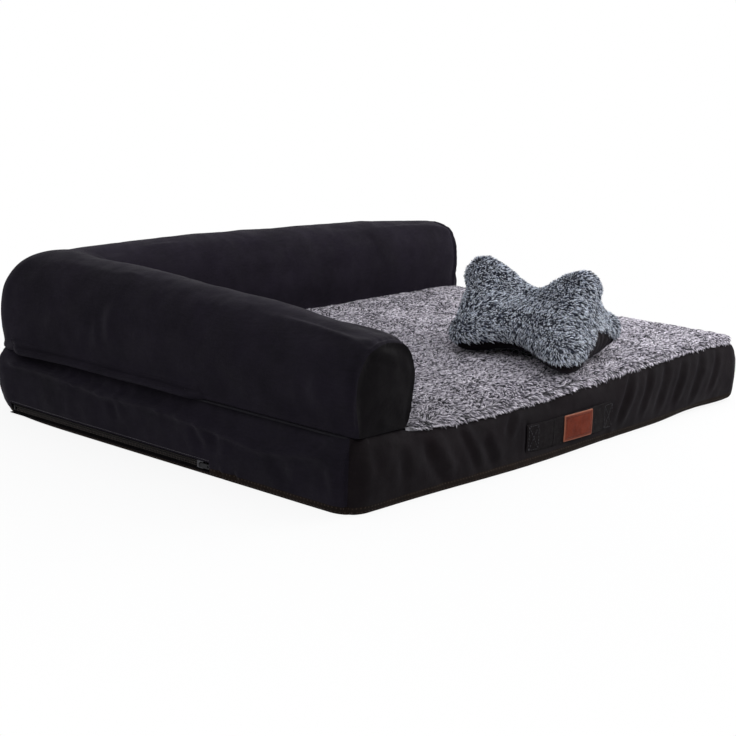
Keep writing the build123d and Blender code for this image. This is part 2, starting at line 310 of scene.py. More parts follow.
class Tree:
    """A node tree, built call by call. An input is given by its name, or by i and its number."""

    def __init__(self, owner, output):
        owner.use_nodes = True
        self.tree = owner.node_tree
        self.tree.nodes.clear()
        self.out = self.node(output)

    def node(self, kind, props=None, **inputs):
        made = self.tree.nodes.new(kind)
        for key, value in (props or {}).items():
            setattr(made, key, value)
        for key, value in inputs.items():
            self.set(made, key.replace("_", " "), value)
        return made

    def set(self, made, key, value):
        socket = made.inputs[int(key[1:])] if key[0] == "i" and key[1:].isdigit() else made.inputs[key]
        if isinstance(value, bpy.types.NodeSocket):
            self.tree.links.new(value, socket)
        else:
            socket.default_value = value

    def math(self, operation, a, b=0.0, c=0.0):
        return self.node("ShaderNodeMath", {"operation": operation}, i0=a, i1=b, i2=c).outputs[0]

    def times(self, a, b):
        return self.math("MULTIPLY", a, b)

    def plus(self, total, *more):
        for term in more:
            total = self.math("ADD", total, term)
        return total


class Paint(Tree):
    """A material round one shader."""

    def __init__(self, name, shine=0.5, **sockets):
        self.material = bpy.data.materials.new(name)
        super().__init__(self.material, "ShaderNodeOutputMaterial")
        self.shader = self.node("ShaderNodeBsdfPrincipled", Specular_IOR_Level=shine, **sockets)
        self.set(self.out, "i0", self.shader.outputs[0])
        self.place = self.node("ShaderNodeTexCoord").outputs["Object"]

    def noise(self, size, detail=3.0, rough=0.5, vector=None):
        made = self.node("ShaderNodeTexNoise", Scale=1 / size, Detail=detail, Roughness=rough)
        self.set(made, "Vector", vector or self.place)
        return made.outputs["Fac"]

    def cells(self, size):
        return self.node("ShaderNodeTexVoronoi", Scale=1 / size, Vector=self.place).outputs["Distance"]

    def ramp(self, value, *stops):
        made = self.node("ShaderNodeValToRGB", i0=value)
        ramp = made.color_ramp
        while len(ramp.elements) < len(stops):
            ramp.elements.new(0.5)
        for element, (at, colour) in zip(ramp.elements, stops):
            element.position = at
            element.color = colour if isinstance(colour, tuple) else (colour, colour, colour, 1)
        return made.outputs["Color"]

    def spread(self, value, low, high, first=0.3, last=0.7):
        """Shades from low to high, between two values of a pattern."""
        return self.ramp(value, (first, low), (last, high))

    def mix(self, share, a, b, blend="MIX"):
        return self.node(
            "ShaderNodeMix", {"data_type": "RGBA", "blend_type": blend}, i0=share, i6=a, i7=b
        ).outputs[2]

    def attribute(self, name, kind="Fac"):
        return self.node("ShaderNodeAttribute", {"attribute_name": name}).outputs[kind]

    def axes(self, vector=None):
        return self.node("ShaderNodeSeparateXYZ", i0=vector or self.place).outputs

    def waves(self, along, pitch):
        return self.math("SINE", self.times(along, 2 * math.pi / pitch))

    def three_ways(self, pattern):
        """A pattern of two coordinates, laid on each face from the side it faces."""
        x, y, z = self.axes()
        normal = self.node("ShaderNodeTexCoord").outputs["Normal"]
        nx, ny, nz = (self.times(n, n) for n in self.axes(normal))
        return self.plus(*(
            self.times(weight, pattern(a, b)) for weight, a, b in ((nx, y, z), (ny, x, z), (nz, x, y))
        ))

    def weave(self, pitch):
        """Threads that pass over and under each other."""
        return self.three_ways(lambda a, b: self.times(self.waves(a, pitch), self.waves(b, pitch)))

    def look(self, colour, rough, *layers):
        """Colour, roughness and bumps, which are heights in metres, the first nearest the shape."""
        self.set(self.shader, "Base Color", colour)
        self.set(self.shader, "Roughness", rough)
        for k, (height, distance) in enumerate(layers):
            made = self.node("ShaderNodeBump", Distance=distance, Strength=1.0, Height=height)
            if k:
                self.set(made, "Normal", normal)
            normal = made.outputs["Normal"]
        self.set(self.shader, "Normal", normal)
        return self.material


def oxford(name, dark, light, sheen=0.02):
    """Woven black polyester: slightly violet, with a soft sheen and fine threads."""
    p = Paint(name, 0.05, Sheen_Weight=sheen, Sheen_Roughness=0.5, Sheen_Tint=(0.8, 0.72, 0.95, 1))
    stretched = p.node("ShaderNodeMapping", Vector=p.place, Scale=(1, 1, 7)).outputs[0]
    slub = p.noise(0.014, 3, 0.7, stretched)
    broad, fine = p.noise(0.09, 4, 0.6), p.noise(0.0016, 2, 0.7)
    shade = p.plus(p.times(broad, 0.45), p.times(fine, 0.25), p.times(slub, 0.3))
    threads = p.weave(1.3 * MM)
    # Painted shade: the colour is darker where the threads of the weave dip
    painted_weave_shade = p.ramp(threads, (0.0, (0.72, 0.72, 0.74, 1)), (0.55, (1.0, 1.0, 1.0, 1)))
    return p.look(
        p.mix(1.0, p.spread(shade, dark, light, 0.35, 0.68), painted_weave_shade, "MULTIPLY"),
        p.spread(p.noise(0.03, 3), 0.66, 0.84),
        (p.noise(0.035, 3, 0.55), 1.6 * MM), (p.noise(0.007, 3, 0.6), 0.25 * MM), (threads, 0.06 * MM),
    )


arm_cloth = oxford("arm_cloth", srgb(15, 13, 18), srgb(29, 25, 34))
# A lighter copy of the same oxford for the back arm: painted light
lit_back_cloth = oxford("lit_back_arm_cloth", srgb(18, 15, 21), srgb(35, 30, 41))
# A darker, warmer copy of the same oxford for the front and right walls, also used for the pillow's bottom:
# its darkness is painted shade
shaded_base_cloth = oxford("shaded_base_cloth", srgb(12, 9, 10), srgb(23, 17, 19))
# A much darker copy of the same oxford for the end panels: painted shade
shaded_cap_cloth = oxford("shaded_cap_cloth", srgb(5, 4, 5), srgb(13, 10, 12), 0.01)
pocket_cloth = oxford("pocket_cloth", srgb(20, 19, 22), srgb(33, 32, 35))


def non_slip():
    """Brown-black cloth with rows of small rubber dots."""
    p = Paint("non_slip_cloth", 0.06)
    pitch = 5.5 * MM

    def dots(a, b):
        row = p.math("FLOOR", p.math("DIVIDE", b, pitch))
        shifted = p.plus(p.math("DIVIDE", a, pitch), p.times(row, 0.5))
        u = p.math("SUBTRACT", p.math("FRACT", shifted), 0.5)
        v = p.math("SUBTRACT", p.math("FRACT", p.math("DIVIDE", b, pitch)), 0.5)
        away = p.math("SQRT", p.plus(p.times(u, u), p.times(v, v)))
        return p.math("SMOOTH_MAX", p.math("SUBTRACT", 1.0, p.times(away, 4.4)), 0.0, 0.1)

    raised = p.three_ways(dots)
    ground = p.spread(p.noise(0.02, 4), srgb(18, 13, 11), srgb(29, 22, 18))
    return p.look(
        p.mix(p.spread(raised, 0.0, 1.0, 0.1, 0.35), ground, srgb(44, 35, 30)),
        p.spread(raised, 0.85, 0.5, 0.1, 0.4),
        (p.noise(0.02, 3), 0.8 * MM), (raised, 0.5 * MM), (p.weave(1.0 * MM), 0.05 * MM),
    )


def plush(name, floor_shade, tip_shade, sheen):
    """The pile's colour comes from the mesh, with painted shade at the roots."""
    p = Paint(name, 0.2, Sheen_Weight=sheen, Sheen_Roughness=0.5)
    grain = p.spread(p.noise(0.0014, 2, 0.7), floor_shade, tip_shade)
    return p.look(
        p.mix(1.0, p.attribute("pile", "Color"), grain, "MULTIPLY"),
        p.spread(p.noise(0.01, 2), 0.85, 0.98),
        (p.noise(0.0011, 2, 0.6), 0.25 * MM),
    )


non_slip_cloth = non_slip()
seat_pile = plush("bed_plush", 0.72, 1.05, 0.15)
pillow_pile = plush("pillow_plush", 0.72, 1.08, 0.15)


def thread(name, dark, light):
    """Twisted sewing thread."""
    p = Paint(name, 0.35)
    x, y, z = p.axes()
    twist = p.waves(p.plus(x, p.plus(y, z)), 0.7 * MM)
    # Painted shade: the colour is darker in the grooves of the twist, lighter on its ridges
    return p.look(
        p.spread(twist, dark, light, 0.0, 0.9), p.spread(p.noise(0.002), 0.5, 0.7), (twist, 0.12 * MM)
    )


black_thread = thread("black_thread", srgb(24, 23, 27), srgb(52, 50, 58))
pale_thread = thread("hem_thread", srgb(60, 58, 62), srgb(96, 93, 98))
brown_thread = thread("brown_thread", srgb(70, 36, 28), srgb(128, 74, 56))


def webbing():
    """Strap webbing, with ribs along its length and a herringbone across."""
    p = Paint("webbing", 0.05, Sheen_Weight=0.01, Sheen_Roughness=0.4)
    x, y, z = p.axes()
    rib = p.waves(z, 2.2 * MM)
    chevron = p.waves(p.plus(x, p.times(p.math("ABSOLUTE", rib), 1.1 * MM)), 1.6 * MM)
    height = p.plus(p.times(rib, 0.4), p.times(chevron, 0.6))
    colour = p.spread(p.noise(0.02, 3), srgb(8, 3, 6), srgb(14, 7, 11))
    # Painted shade: the colour is darker in the hollows of the ribs and chevrons, lighter on their crests
    return p.look(
        p.mix(1.0, colour, p.spread(height, 0.6, 1.05, 0.0, 0.6), "MULTIPLY"),
        p.spread(p.noise(0.006), 0.55, 0.72),
        (p.noise(0.02, 2), 0.5 * MM), (height, 0.14 * MM),
    )


def leather():
    """Brown leather, lighter at its very rim and darker in its sewn groove."""
    p = Paint("patch_leather", 0.07)
    rim = p.attribute("rim")
    edge = p.ramp(rim, (0.0, 0.0), (0.35, 0.0), (1.0, 1.0))
    groove = p.spread(rim, 0.55, 1.0, 0.0, 0.33)
    stain = p.noise(0.018, 4, 0.6)
    pores = p.cells(1.1 * MM)
    face = p.spread(stain, srgb(84, 27, 10), srgb(112, 44, 24))
    rim_and_groove = p.mix(1.0, p.mix(edge, face, srgb(150, 96, 76)), groove, "MULTIPLY")
    return p.look(
        p.mix(1.0, rim_and_groove, p.spread(pores, 1.06, 0.82, 0.0, 0.8), "MULTIPLY"),
        p.spread(p.noise(0.004, 3), 0.42, 0.62),
        (stain, 0.4 * MM), (pores, -0.12 * MM), (p.noise(0.0006, 2), 0.04 * MM),
    )


strap_webbing = webbing()
patch_leather = leather()


def plain_weave(name, dark, light, pitch):
    """Plain woven tape."""
    p = Paint(name, 0.06)
    threads = p.weave(pitch)
    # Painted shade: the colour is darker where the threads dip
    return p.look(
        p.spread(threads, dark, light, 0.0, 0.6), p.spread(p.noise(0.01), 0.7, 0.85), (threads, 0.08 * MM)
    )


def moulded(name, dark, light, rough, shine=0.15, metal=0.0):
    """Moulded plastic or cast metal, a little scuffed."""
    p = Paint(name, shine, Metallic=metal)
    scuff = p.noise(0.002, 4, 0.7)
    return p.look(
        p.spread(scuff, dark, light), p.spread(scuff, rough, rough + 0.2, 0.3, 0.75), (scuff, 0.05 * MM)
    )


def coil_teeth():
    """Black coil teeth, each with a small painted highlight."""
    p = Paint("zip_teeth", 0.1)
    scuff = p.noise(0.002, 4, 0.7)
    tooth = p.spread(p.waves(p.axes()[1], 3 * MM), 0.0, 1.0, 0.7, 0.95)
    # Painted highlight: a small light spot on each tooth
    painted_glint = p.times(tooth, p.spread(scuff, 0.2, 1.0, 0.35, 0.6))
    return p.look(
        p.mix(painted_glint, p.spread(scuff, srgb(8, 7, 8), srgb(17, 15, 16)), srgb(84, 74, 70)),
        p.spread(scuff, 0.4, 0.6, 0.3, 0.75),
        (scuff, 0.05 * MM),
    )


def dress(finish, *names):
    """Gives carried-over CAD nodes their material."""
    for name in names:
        nodes[name].data.materials.clear()
        nodes[name].data.materials.append(finish)


dress(pocket_cloth, "arm_pocket_floor")
for finish, parts in (
    (plain_weave("zip_tape", srgb(10, 9, 10), srgb(22, 20, 22), 0.8 * MM), ("tape_upper", "tape_lower")),
    (plain_weave("zip_hem", srgb(9, 7, 9), srgb(18, 15, 17), 1.1 * MM), ("hems",)),
    (coil_teeth(), ("teeth_upper", "teeth_lower")),
    (moulded("zip_metal", srgb(48, 48, 51), srgb(84, 84, 88), 0.24, 0.5, 1.0), ("slider",)),
    (moulded("zip_pull", srgb(16, 16, 18), srgb(34, 34, 38), 0.3), ("stops", "pull")),
):
    dress(finish, *(f"{which}_zip_{part}" for which in ("base", "arm") for part in parts))


# The arms: one closed tube round the back left corner, swelled as cloth, then cut into its panels

arm_bay_low, arm_bay_high = span("arm_zip_tape_upper", "arm_zip_tape_lower")
base_bay_low, base_bay_high = span("base_zip_tape_upper", "base_zip_tape_lower")


ARC_POINTS, ARC_FULLNESS = 17, 0.238


def rounded_path(corners, step):
    """A path through corners, each a point and the length of its rounding, at even steps."""
    dense = []
    for i, (p, cut) in enumerate(corners):
        p = np.array(p, float)
        if cut == 0 or i in (0, len(corners) - 1):
            dense.append(p)
            continue
        before = np.array(corners[i - 1][0], float) - p
        after = np.array(corners[i + 1][0], float) - p
        a = p + before / np.linalg.norm(before) * cut
        b = p + after / np.linalg.norm(after) * cut
        for t in np.linspace(0, 1, ARC_POINTS):
            mid = (1 - t) ** 2 * a + 2 * t * (1 - t) * p + t * t * b
            dense.append(mid + ARC_FULLNESS * t * (1 - t) * (p - mid))
    dense = np.array(dense)
    gone = np.concatenate([[0], np.cumsum(np.linalg.norm(np.diff(dense, axis=0), axis=1))])
    at = np.linspace(0, gone[-1], int(round(gone[-1] / step)) + 1)
    return np.stack([np.interp(at, gone, dense[:, k]) for k in range(dense.shape[1])], axis=1)


ARM_STEP = 5 * MM
foot_draw, belly = 10 * MM, 46 * MM
side_top, shoulder = 0.72 * arm_height, 0.92 * arm_height
bay_rise = arm_bay_high[2] - seam_z
bay_draw = foot_draw * (1 - bay_rise / belly)
above = rounded_path([
    ((bay_draw, bay_rise), 0),
    ((0, belly), 15 * MM),
    ((5 * MM, side_top), 12 * MM),
    ((21 * MM, shoulder), 12 * MM),
    ((47 * MM, arm_height), 14 * MM),
    ((arm_width - 46 * MM, arm_height), 14 * MM),
    ((arm_width - 17 * MM, shoulder), 12 * MM),
    ((arm_width - 3 * MM, side_top), 12 * MM),
    ((arm_width, belly), 15 * MM),
    ((arm_width - foot_draw, 0), 0),
], ARM_STEP)
under = np.linspace((arm_width - foot_draw, 0), (foot_draw, 0), 13)[1:]
rise = np.linspace((foot_draw, 0), (bay_draw, bay_rise), 4)[1:-1]
profile = np.concatenate([above, under, rise])
around = len(profile)
window_points = {0, *range(around - len(rise) - 1, around)}

# Each row of the tube runs between an outer and an inner point in plan
inner_x, inner_y = arm_width - half_length, half_depth - arm_width
outer_round, inner_round = 36 * MM, 20 * MM
turn_y = inner_y - inner_round
turn_x = inner_x + inner_round
near_cap = np.array([0, 1.2, 2.6, 4.6, 7.5, 11.5]) * MM


def run(first, last):
    """Places along an arm at even steps, with the ends of the zip's bay among them."""
    stops = [v for v in (arm_bay_low[1], arm_bay_high[1]) if first < v < last]
    places = []
    for a, b in zip([first, *stops], [*stops, last]):
        count = max(2, int(round((b - a) / ARM_STEP)) + 1)
        places += list(np.linspace(a, b, count)[:-1])
    return places + [last]


rows = []
for d in near_cap:
    rows.append(((-half_length, cap_front + d), (inner_x, cap_front + d), d))
for y in run(cap_front + near_cap[-1] + ARM_STEP, turn_y):
    rows.append(((-half_length, y), (inner_x, y), y - cap_front))
corner_y, corner_x = half_depth - outer_round, -half_length + outer_round
outer_way = [(-half_length, y) for y in run(turn_y, corner_y)[1:]]
for angle in np.linspace(0, math.pi / 2, 14)[1:]:
    outer_way.append((corner_x - outer_round * math.cos(angle), corner_y + outer_round * math.sin(angle)))
outer_way += [(x, half_depth) for x in np.arange(corner_x, turn_x, ARM_STEP)[1:]] + [(turn_x, half_depth)]
for i, outer in enumerate(outer_way):
    angle = math.pi / 2 * (i + 1) / len(outer_way)
    inner = (turn_x - inner_round * math.cos(angle), turn_y + inner_round * math.sin(angle))
    rows.append((outer, inner, FAR))
mitre_row = len(rows) - len(outer_way) // 2
for x in np.arange(turn_x, cap_right - near_cap[-1] - ARM_STEP / 2, ARM_STEP)[1:]:
    rows.append(((x, half_depth), (x, inner_y), cap_right - x))
for d in near_cap[::-1]:
    rows.append(((cap_right - d, half_depth), (cap_right - d, inner_y), d))

# How far the stuffing lifts the top of each arm above its plain height, by place along it, how far the
# seam of an end panel draws the cloth in, by the distance from it, and how far the right end leans out,
# by the share of its height. All in millimetres.
SIDE_RISE = (
    (-336, 1), (-295, 3), (-223, 8.5), (-160, 14.5), (-60, 18), (29, 23), (95, 25), (250, 25), (336, 26.5),
)
BACK_RISE = (
    (-450, 26.5), (-380, 23), (-122, 25), (-34, 22), (59, 18.5), (156, 17.5), (259, 15), (368, 6), (450, 0),
)
SEAM_DRAW = ((0, 9), (1.2, 7), (2.6, 5.6), (4.6, 4.3), (7.5, 3.1), (11.5, 2.2), (20, 1.2), (36, 0.4), (60, 0))
END_LEAN, END_REACH = ((0, 17), (0.35, 3), (1, 1)), 0.06
CORNER_SWELL, CORNER_FOOT, CORNER_REACH, CORNER_BLEND = 7.6 * MM, 6.5 * MM, 110 * MM, 0.06


def read(table, place):
    """The value that a table of places and values gives between its rows."""
    return np.interp(place, *zip(*table))


def arm_ring(outer, inner, to_cap):
    """One ring of the tube, across the arm from its outer point in plan to its inner one."""
    outer, inner = np.array(outer), np.array(inner)
    on_side = smooth((inner_y + CORNER_BLEND - outer[1]) / (2 * CORNER_BLEND)) if outer[0] < corner_x else 0.0
    rise = (on_side * read(SIDE_RISE, outer[1] / MM) + (1 - on_side) * read(BACK_RISE, outer[0] / MM)) * MM
    from_corner = math.hypot(outer[0] + half_length, outer[1] - half_depth)
    near_corner = math.exp(-((from_corner / CORNER_REACH) ** 2))
    draw = read(SEAM_DRAW, to_cap / MM) * MM
    u = draw + profile[:, 0] * (1 - 2 * draw / arm_width)
    lifted = profile[:, 1] / arm_height
    v = profile[:, 1] * (1 - draw / arm_height) + rise * lifted**1.5
    plan = outer + np.outer(u / arm_width, inner - outer)
    if outer[0] > turn_x:
        plan[:, 0] += math.exp(-to_cap / END_REACH) * read(END_LEAN, lifted) * MM
    away = (outer - inner) / np.linalg.norm(outer - inner)
    fullness = np.maximum(np.sin(math.pi * np.clip(lifted, 0, 1)) ** 0.7, 0.95 * (lifted < 0.5))
    plan += np.outer(CORNER_SWELL * near_corner * fullness * (1 - u / arm_width) ** 1.3, away)
    foot_out = CORNER_FOOT * near_corner * np.clip(1 - lifted / 0.42, 0, 1)
    plan += np.outer(foot_out * (u < arm_width / 2), away)
    return np.column_stack([plan, seam_z + v])


# The end panels are rings that narrow to a point in the middle, and bulge a little
CAP_RINGS, CAP_SWELL = 12, 5 * MM
tube = np.array([arm_ring(*row) for row in rows])
points = [tube.reshape(-1, 3)]
faces = strip_faces(len(rows), around, wrap=True)
pairs = [(i, (i + 1) % around) for i in range(around)]
cap_starts = []
for row, facing_out, turn in ((0, (0, -1.0, 0), -1), (len(rows) - 1, (1.0, 0, 0), 1)):
    start = sum(len(p) for p in points)
    cap_starts.append(start)
    middle = tube[row].mean(axis=0)
    middle[2] = seam_z + 0.5 * arm_height
    bulge = np.array(facing_out) * CAP_SWELL
    for k in range(1, CAP_RINGS):
        share = 1 - k / CAP_RINGS
        points.append(middle + (tube[row] - middle) * share + bulge * (1 - share**2))
    points.append((middle + bulge)[None])
    firsts = [row * around] + [start + k * around for k in range(CAP_RINGS - 1)]
    centre = start + (CAP_RINGS - 1) * around
    for a, b in zip(firsts[:-1], firsts[1:]):
        faces += [(a + i, a + j, b + j, b + i)[::turn] for i, j in pairs]
    faces += [(firsts[-1] + i, firsts[-1] + j, centre)[::turn] for i, j in pairs]
arm_points = np.concatenate(points)
faces = [f[::-1] for f in faces]
arms = build("arms_together", arm_points, faces, arm_cloth)

# Each point's row along the tube and its place round it, or -1 on the end panels
on_rows = len(rows) * around
row_of, angle_of = np.full((2, len(arm_points)), -1)
row_of[:on_rows] = np.repeat(np.arange(len(rows)), around)
angle_of[:on_rows] = np.tile(np.arange(around), len(rows))
on_tube = row_of >= 0
second_cap = cap_starts[1]
by_window = (
    (np.isin(angle_of, list(window_points)))
    & (arm_points[:, 0] < inner_x - arm_width / 2)
    & (arm_points[:, 1] > arm_bay_low[1] - 2 * MM)
    & (arm_points[:, 1] < arm_bay_high[1] + 2 * MM)
)
at_foot = arm_points[:, 2] < seam_z + 1 * MM
near_seam = np.exp(-np.minimum(row_of, len(rows) - 1 - row_of) / 3.0) * on_tube
on_caps = (row_of <= 0) | (row_of == len(rows) - 1)
sewn_down = at_foot | by_window
swell(arms, sewn_down | on_caps, pressure=3.0, most=3.5 * MM, tight=near_seam, slack=-0.012, drawn=0.03)
ease(arms, 1, 0.3, sewn_down)


def creases(plane, rows, wider=1.0, higher=1.0):
    """Creases traced in the photograph on a plane of the bed. Each row is a path of pixels, then the
    crease's width, its depth and the height of its ridge, in millimetres."""
    return [
        ([seen(*pixel, *plane) for pixel in path], wide * MM * wider, deep * MM, ridge * MM * higher)
        for path, wide, deep, ridge in rows
    ]


LEFT, FRONT, CAP_FRONT = (0, -half_length), (1, -half_depth), (1, cap_front)
side_folds = creases(LEFT, (
    (((106, 300), (105, 322), (104, 345)), 4.5, 4.0, 1.6),
    (((94, 318), (92, 352)), 4.0, 3.0, 1.2),
    (((78, 330), (77, 352)), 4.0, 2.0, 0.8),
    (((304, 372), (318, 402), (336, 434)), 7.0, 4.5, 2.0),
    (((288, 385), (310, 420)), 7.0, 2.0, 1.2),
    (((126, 300), (160, 292)), 6.0, 1.6, 1.2),
    (((170, 330), (196, 352)), 8.0, 1.4, 1.2),
    (((215, 345), (250, 385)), 9.0, 1.4, 1.2),
), wider=1.9, higher=0.8)
cap_folds = creases(CAP_FRONT, (
    (((366, 357), (378, 352), (398, 358)), 4.5, 3.6, 1.0),
    (((376, 424), (398, 432)), 7.0, 3.5, 1.0),
    (((402, 356), (413, 384)), 6.0, 1.5, 0.8),
    (((352, 434), (356, 400)), 4.0, 1.2, 0.6),
), wider=1.3)
co, facing = coords(arms), normals_of(arms)
outside = smooth((-half_length + 40 * MM - co[:, 0]) / (20 * MM))
on_front = smooth((cap_front + 14 * MM - co[:, 1]) / (8 * MM))
shift = folds(co, facing, side_folds) * outside * (1 - on_front)
shift += folds(co, facing, cap_folds) * on_front
shift += 1.5 * MM * layered(co * (1, 1, 1.4), 0.11, 3) + 0.5 * MM * layered(co, 0.03, 9)
shift += 0.9 * MM * crumple(co, 0.085, 15) * on_tube

# The seams of the end panels: a groove, a roll beside it and small puckers
PUCKERS = 31
around_share = np.where(angle_of >= 0, angle_of / around, 0)
to_seam = np.minimum(co[:, 1] - cap_front, np.where(co[:, 1] > turn_y, cap_right - co[:, 0], FAR))
pucker = np.sin(around_share * 2 * math.pi * PUCKERS + 3 * noise(co, 0.04, 21))
shift += 0.9 * MM * pucker * fading(np.abs(to_seam - 4 * MM), 9 * MM) * on_tube
from_seam = np.minimum(np.abs(to_seam), FAR)
shift -= 3.0 * MM * bell(from_seam, 1.6 * MM) * on_tube
shift += 2.4 * MM * bell(from_seam - 6 * MM, 3.5 * MM) * on_tube
held = smooth((co[:, 2] - seam_z) / (12 * MM))
shift *= np.where(sewn_down, 0, held)
put(arms, co + facing * shift[:, None])

quads = np.array([f for f in faces if len(f) == 4])
tris = [f for f in faces if len(f) == 3]
final = coords(arms)
bpy.data.objects.remove(arms)


def in_bay(face):
    """Whether a face of the tube lies over the opening for the arm's zip."""
    if not all(angle_of[i] in window_points for i in face):
        return False
    middle = arm_points[list(face)].mean(axis=0)
    return (
        middle[0] < inner_x - arm_width / 2
        and arm_bay_low[1] < middle[1] < arm_bay_high[1]
        and middle[2] > seam_z + 0.2 * MM
    )


def part_of(points, faces):
    """Some of a mesh's faces, with only the points that they use."""
    used = sorted({i for f in faces for i in f})
    number = {old: new for new, old in enumerate(used)}
    return points[used], [tuple(number[i] for i in f) for f in faces]


def turn_in(obj, box_low, box_high, inwards):
    """Adds a narrow strip inwards along the edges of an opening within a box."""
    mesh = obj.data
    count = {}
    for poly in mesh.polygons:
        for a, b in poly.edge_keys:
            count[(a, b)] = count.get((a, b), 0) + 1
    co = coords(obj)
    inside = np.all((co > np.array(box_low)) & (co < np.array(box_high)), axis=1)
    rim = [(a, b) for (a, b), n in count.items() if n == 1 and inside[a] and inside[b]]
    used = sorted({i for e in rim for i in e})
    number = {old: len(co) + k for k, old in enumerate(used)}
    pts = np.concatenate([co, co[used] + np.array(inwards)])
    faces = [tuple(p.vertices) for p in mesh.polygons]
    faces += [(a, b, number[b], number[a]) for a, b in rim]
    fresh = bpy.data.meshes.new(obj.name)
    fresh.from_pydata(pts.tolist(), [], faces)
    fresh.update()
    fresh.shade_smooth()
    fresh.materials.append(mesh.materials[0])
    obj.data = fresh


tube_faces = [f for f in quads if all(row_of[i] >= 0 for i in f)]
side_tube = [f for f in tube_faces if max(row_of[i] for i in f) <= mitre_row and not in_bay(f)]
back_tube = [f for f in tube_faces if max(row_of[i] for i in f) > mitre_row]
all_caps = [tuple(f) for f in quads if any(row_of[i] < 0 for i in f)] + tris
front_cap = [f for f in all_caps if max(f) < second_cap]
right_cap = [f for f in all_caps if max(f) >= second_cap]
side_arm = build("side_arm_cushion", *part_of(final, side_tube), arm_cloth)
turn_in(side_arm, (-half_length - 0.02, arm_bay_low[1] - 1 * MM, seam_z - 1 * MM),
        (inner_x - arm_width / 2, arm_bay_high[1] + 1 * MM, arm_bay_high[2] + 1 * MM), (7 * MM, 0, 0))
back_arm = build("back_arm_cushion", *part_of(final, back_tube), lit_back_cloth)
side_cap = build("side_arm_end", *part_of(final, front_cap), shaded_cap_cloth)
back_cap = build("back_arm_end", *part_of(final, right_cap), shaded_cap_cloth)
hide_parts("side_arm_cover", "side_arm_foam")
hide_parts("back_arm_cover", "back_arm_foam")
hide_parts("side_arm_end_cap")
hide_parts("back_arm_end_cap")
for piece in (side_arm, back_arm, side_cap, back_cap):
    subdivide(piece)
    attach(piece, "bed")


# The slab's cover: a ring of columns round the plan, each running from the floor to the top seam.
# The seam's height by place along the front, the height of the left side's long crease by place along
# it, and how far the wall is drawn in, by the share of its height, are all in millimetres.

SEAM_LEVELS = (
    (-450, 91), (-410, 91), (-352, 88), (-338, 84), (-247, 77), (-151, 76), (-47, 78), (64, 83),
    (184, 88), (312, 92.5), (379, 92.5), (450, 90),
)
CREASE = ((-330, 74), (-275, 67), (-193, 56), (-154, 60), (-69, 68), (9, 72), (93, 70), (174, 77), (300, 80))
WALL_DRAW = ((0, 3.0), (0.04, 1.4), (0.12, 0.5), (0.4, 0.0), (0.7, 0.9), (0.85, 3.2), (0.94, 6.1), (1.0, 9.0))
FRONT_REACH = 50 * MM
RING_STEP = 2.6 * MM


def over_front(y):
    """1 along the front of the slab, and nothing further back."""
    return smooth((-half_depth + 60 * MM - y) / FRONT_REACH)


def top_of(x, y):
    """The height of the top seam round the slab."""
    x, y = np.asarray(x, float), np.asarray(y, float)
    level = read(SEAM_LEVELS, x / MM) * MM
    at_front = over_front(y)
    right = seam_z - 3.0 * MM * np.sin(math.pi * np.clip((y + half_depth) / (2 * half_depth), 0, 1)) ** 2
    other = np.where(x > 0, right, seam_z)
    return at_front * level + (1 - at_front) * other


def outline():
    """Plan points, outward directions and distances round the slab, from the front left seam on."""
    cx, cy = half_length - corner_radius, half_depth - corner_radius
    seam_angle = math.asin((half_depth - corner_seam - cy) / corner_radius)
    out = []

    def arc(x, y, first, last, count):
        for a in np.linspace(first, last, count):
            n = (math.cos(a), math.sin(a))
            out.append((x + corner_radius * n[0], y + corner_radius * n[1], *n))

    def line(first, last, n, marks=()):
        first, last = np.array(first), np.array(last)
        length = np.linalg.norm(last - first)
        stops = sorted({0.0, 1.0, *marks})
        for a, b in zip(stops[:-1], stops[1:]):
            shares = np.linspace(a, b, max(2, int(round((b - a) * length / RING_STEP))) + 1)[1:]
            for t in shares[:-1] if b == 1.0 else shares:
                out.append((*(first + t * (last - first)), *n))

    h = math.pi / 2
    arc(-cx, -cy, -2 * h + seam_angle, -h, 19)
    line((-cx, -half_depth), (cx, -half_depth), (0, -1))
    arc(cx, -cy, -h, -seam_angle, 19)
    first_right = len(out) - 1
    arc(cx, -cy, -seam_angle, 0, 8)
    line((half_length, -cy), (half_length, cy), (1, 0))
    arc(cx, cy, 0, seam_angle, 8)
    first_back = len(out) - 1
    arc(cx, cy, seam_angle, h, 9)
    line((cx, half_depth), (-cx, half_depth), (0, 1))
    arc(-cx, cy, h, 2 * h - seam_angle, 9)
    first_left = len(out) - 1
    arc(-cx, cy, 2 * h - seam_angle, 2 * h, 8)
    marks = [(cy - y) / (2 * cy) for y in (base_bay_low[1], base_bay_high[1])]
    line((-half_length, cy), (-half_length, -cy), (-1, 0), marks)
    arc(-cx, -cy, 2 * h, 2 * h + seam_angle, 15)
    return np.array(out), (0, first_right, first_back, first_left, len(out) - 1)


ring, seam_columns = outline()
columns = len(ring)
tops = top_of(ring[:, 0], ring[:, 1])
low_rows = [0, 1.0, base_bay_low[2] / MM, 5.2, 7.6, tray_z / MM]
side_rows = [tray_z / MM, 13.4, base_bay_high[2] / MM]
upper_shares = np.linspace(0, 1, 30)[1:]


LEFT_LEAN, LEFT_ROLL, LEFT_ROLL_HEIGHT = 13.5 * MM, 6.5 * MM, 5.5 * MM
WALL_BELLY, TUCK, TUCK_REACH = 3.0 * MM, 11 * MM, 75 * MM
RIGHT_LIFT = 5 * MM


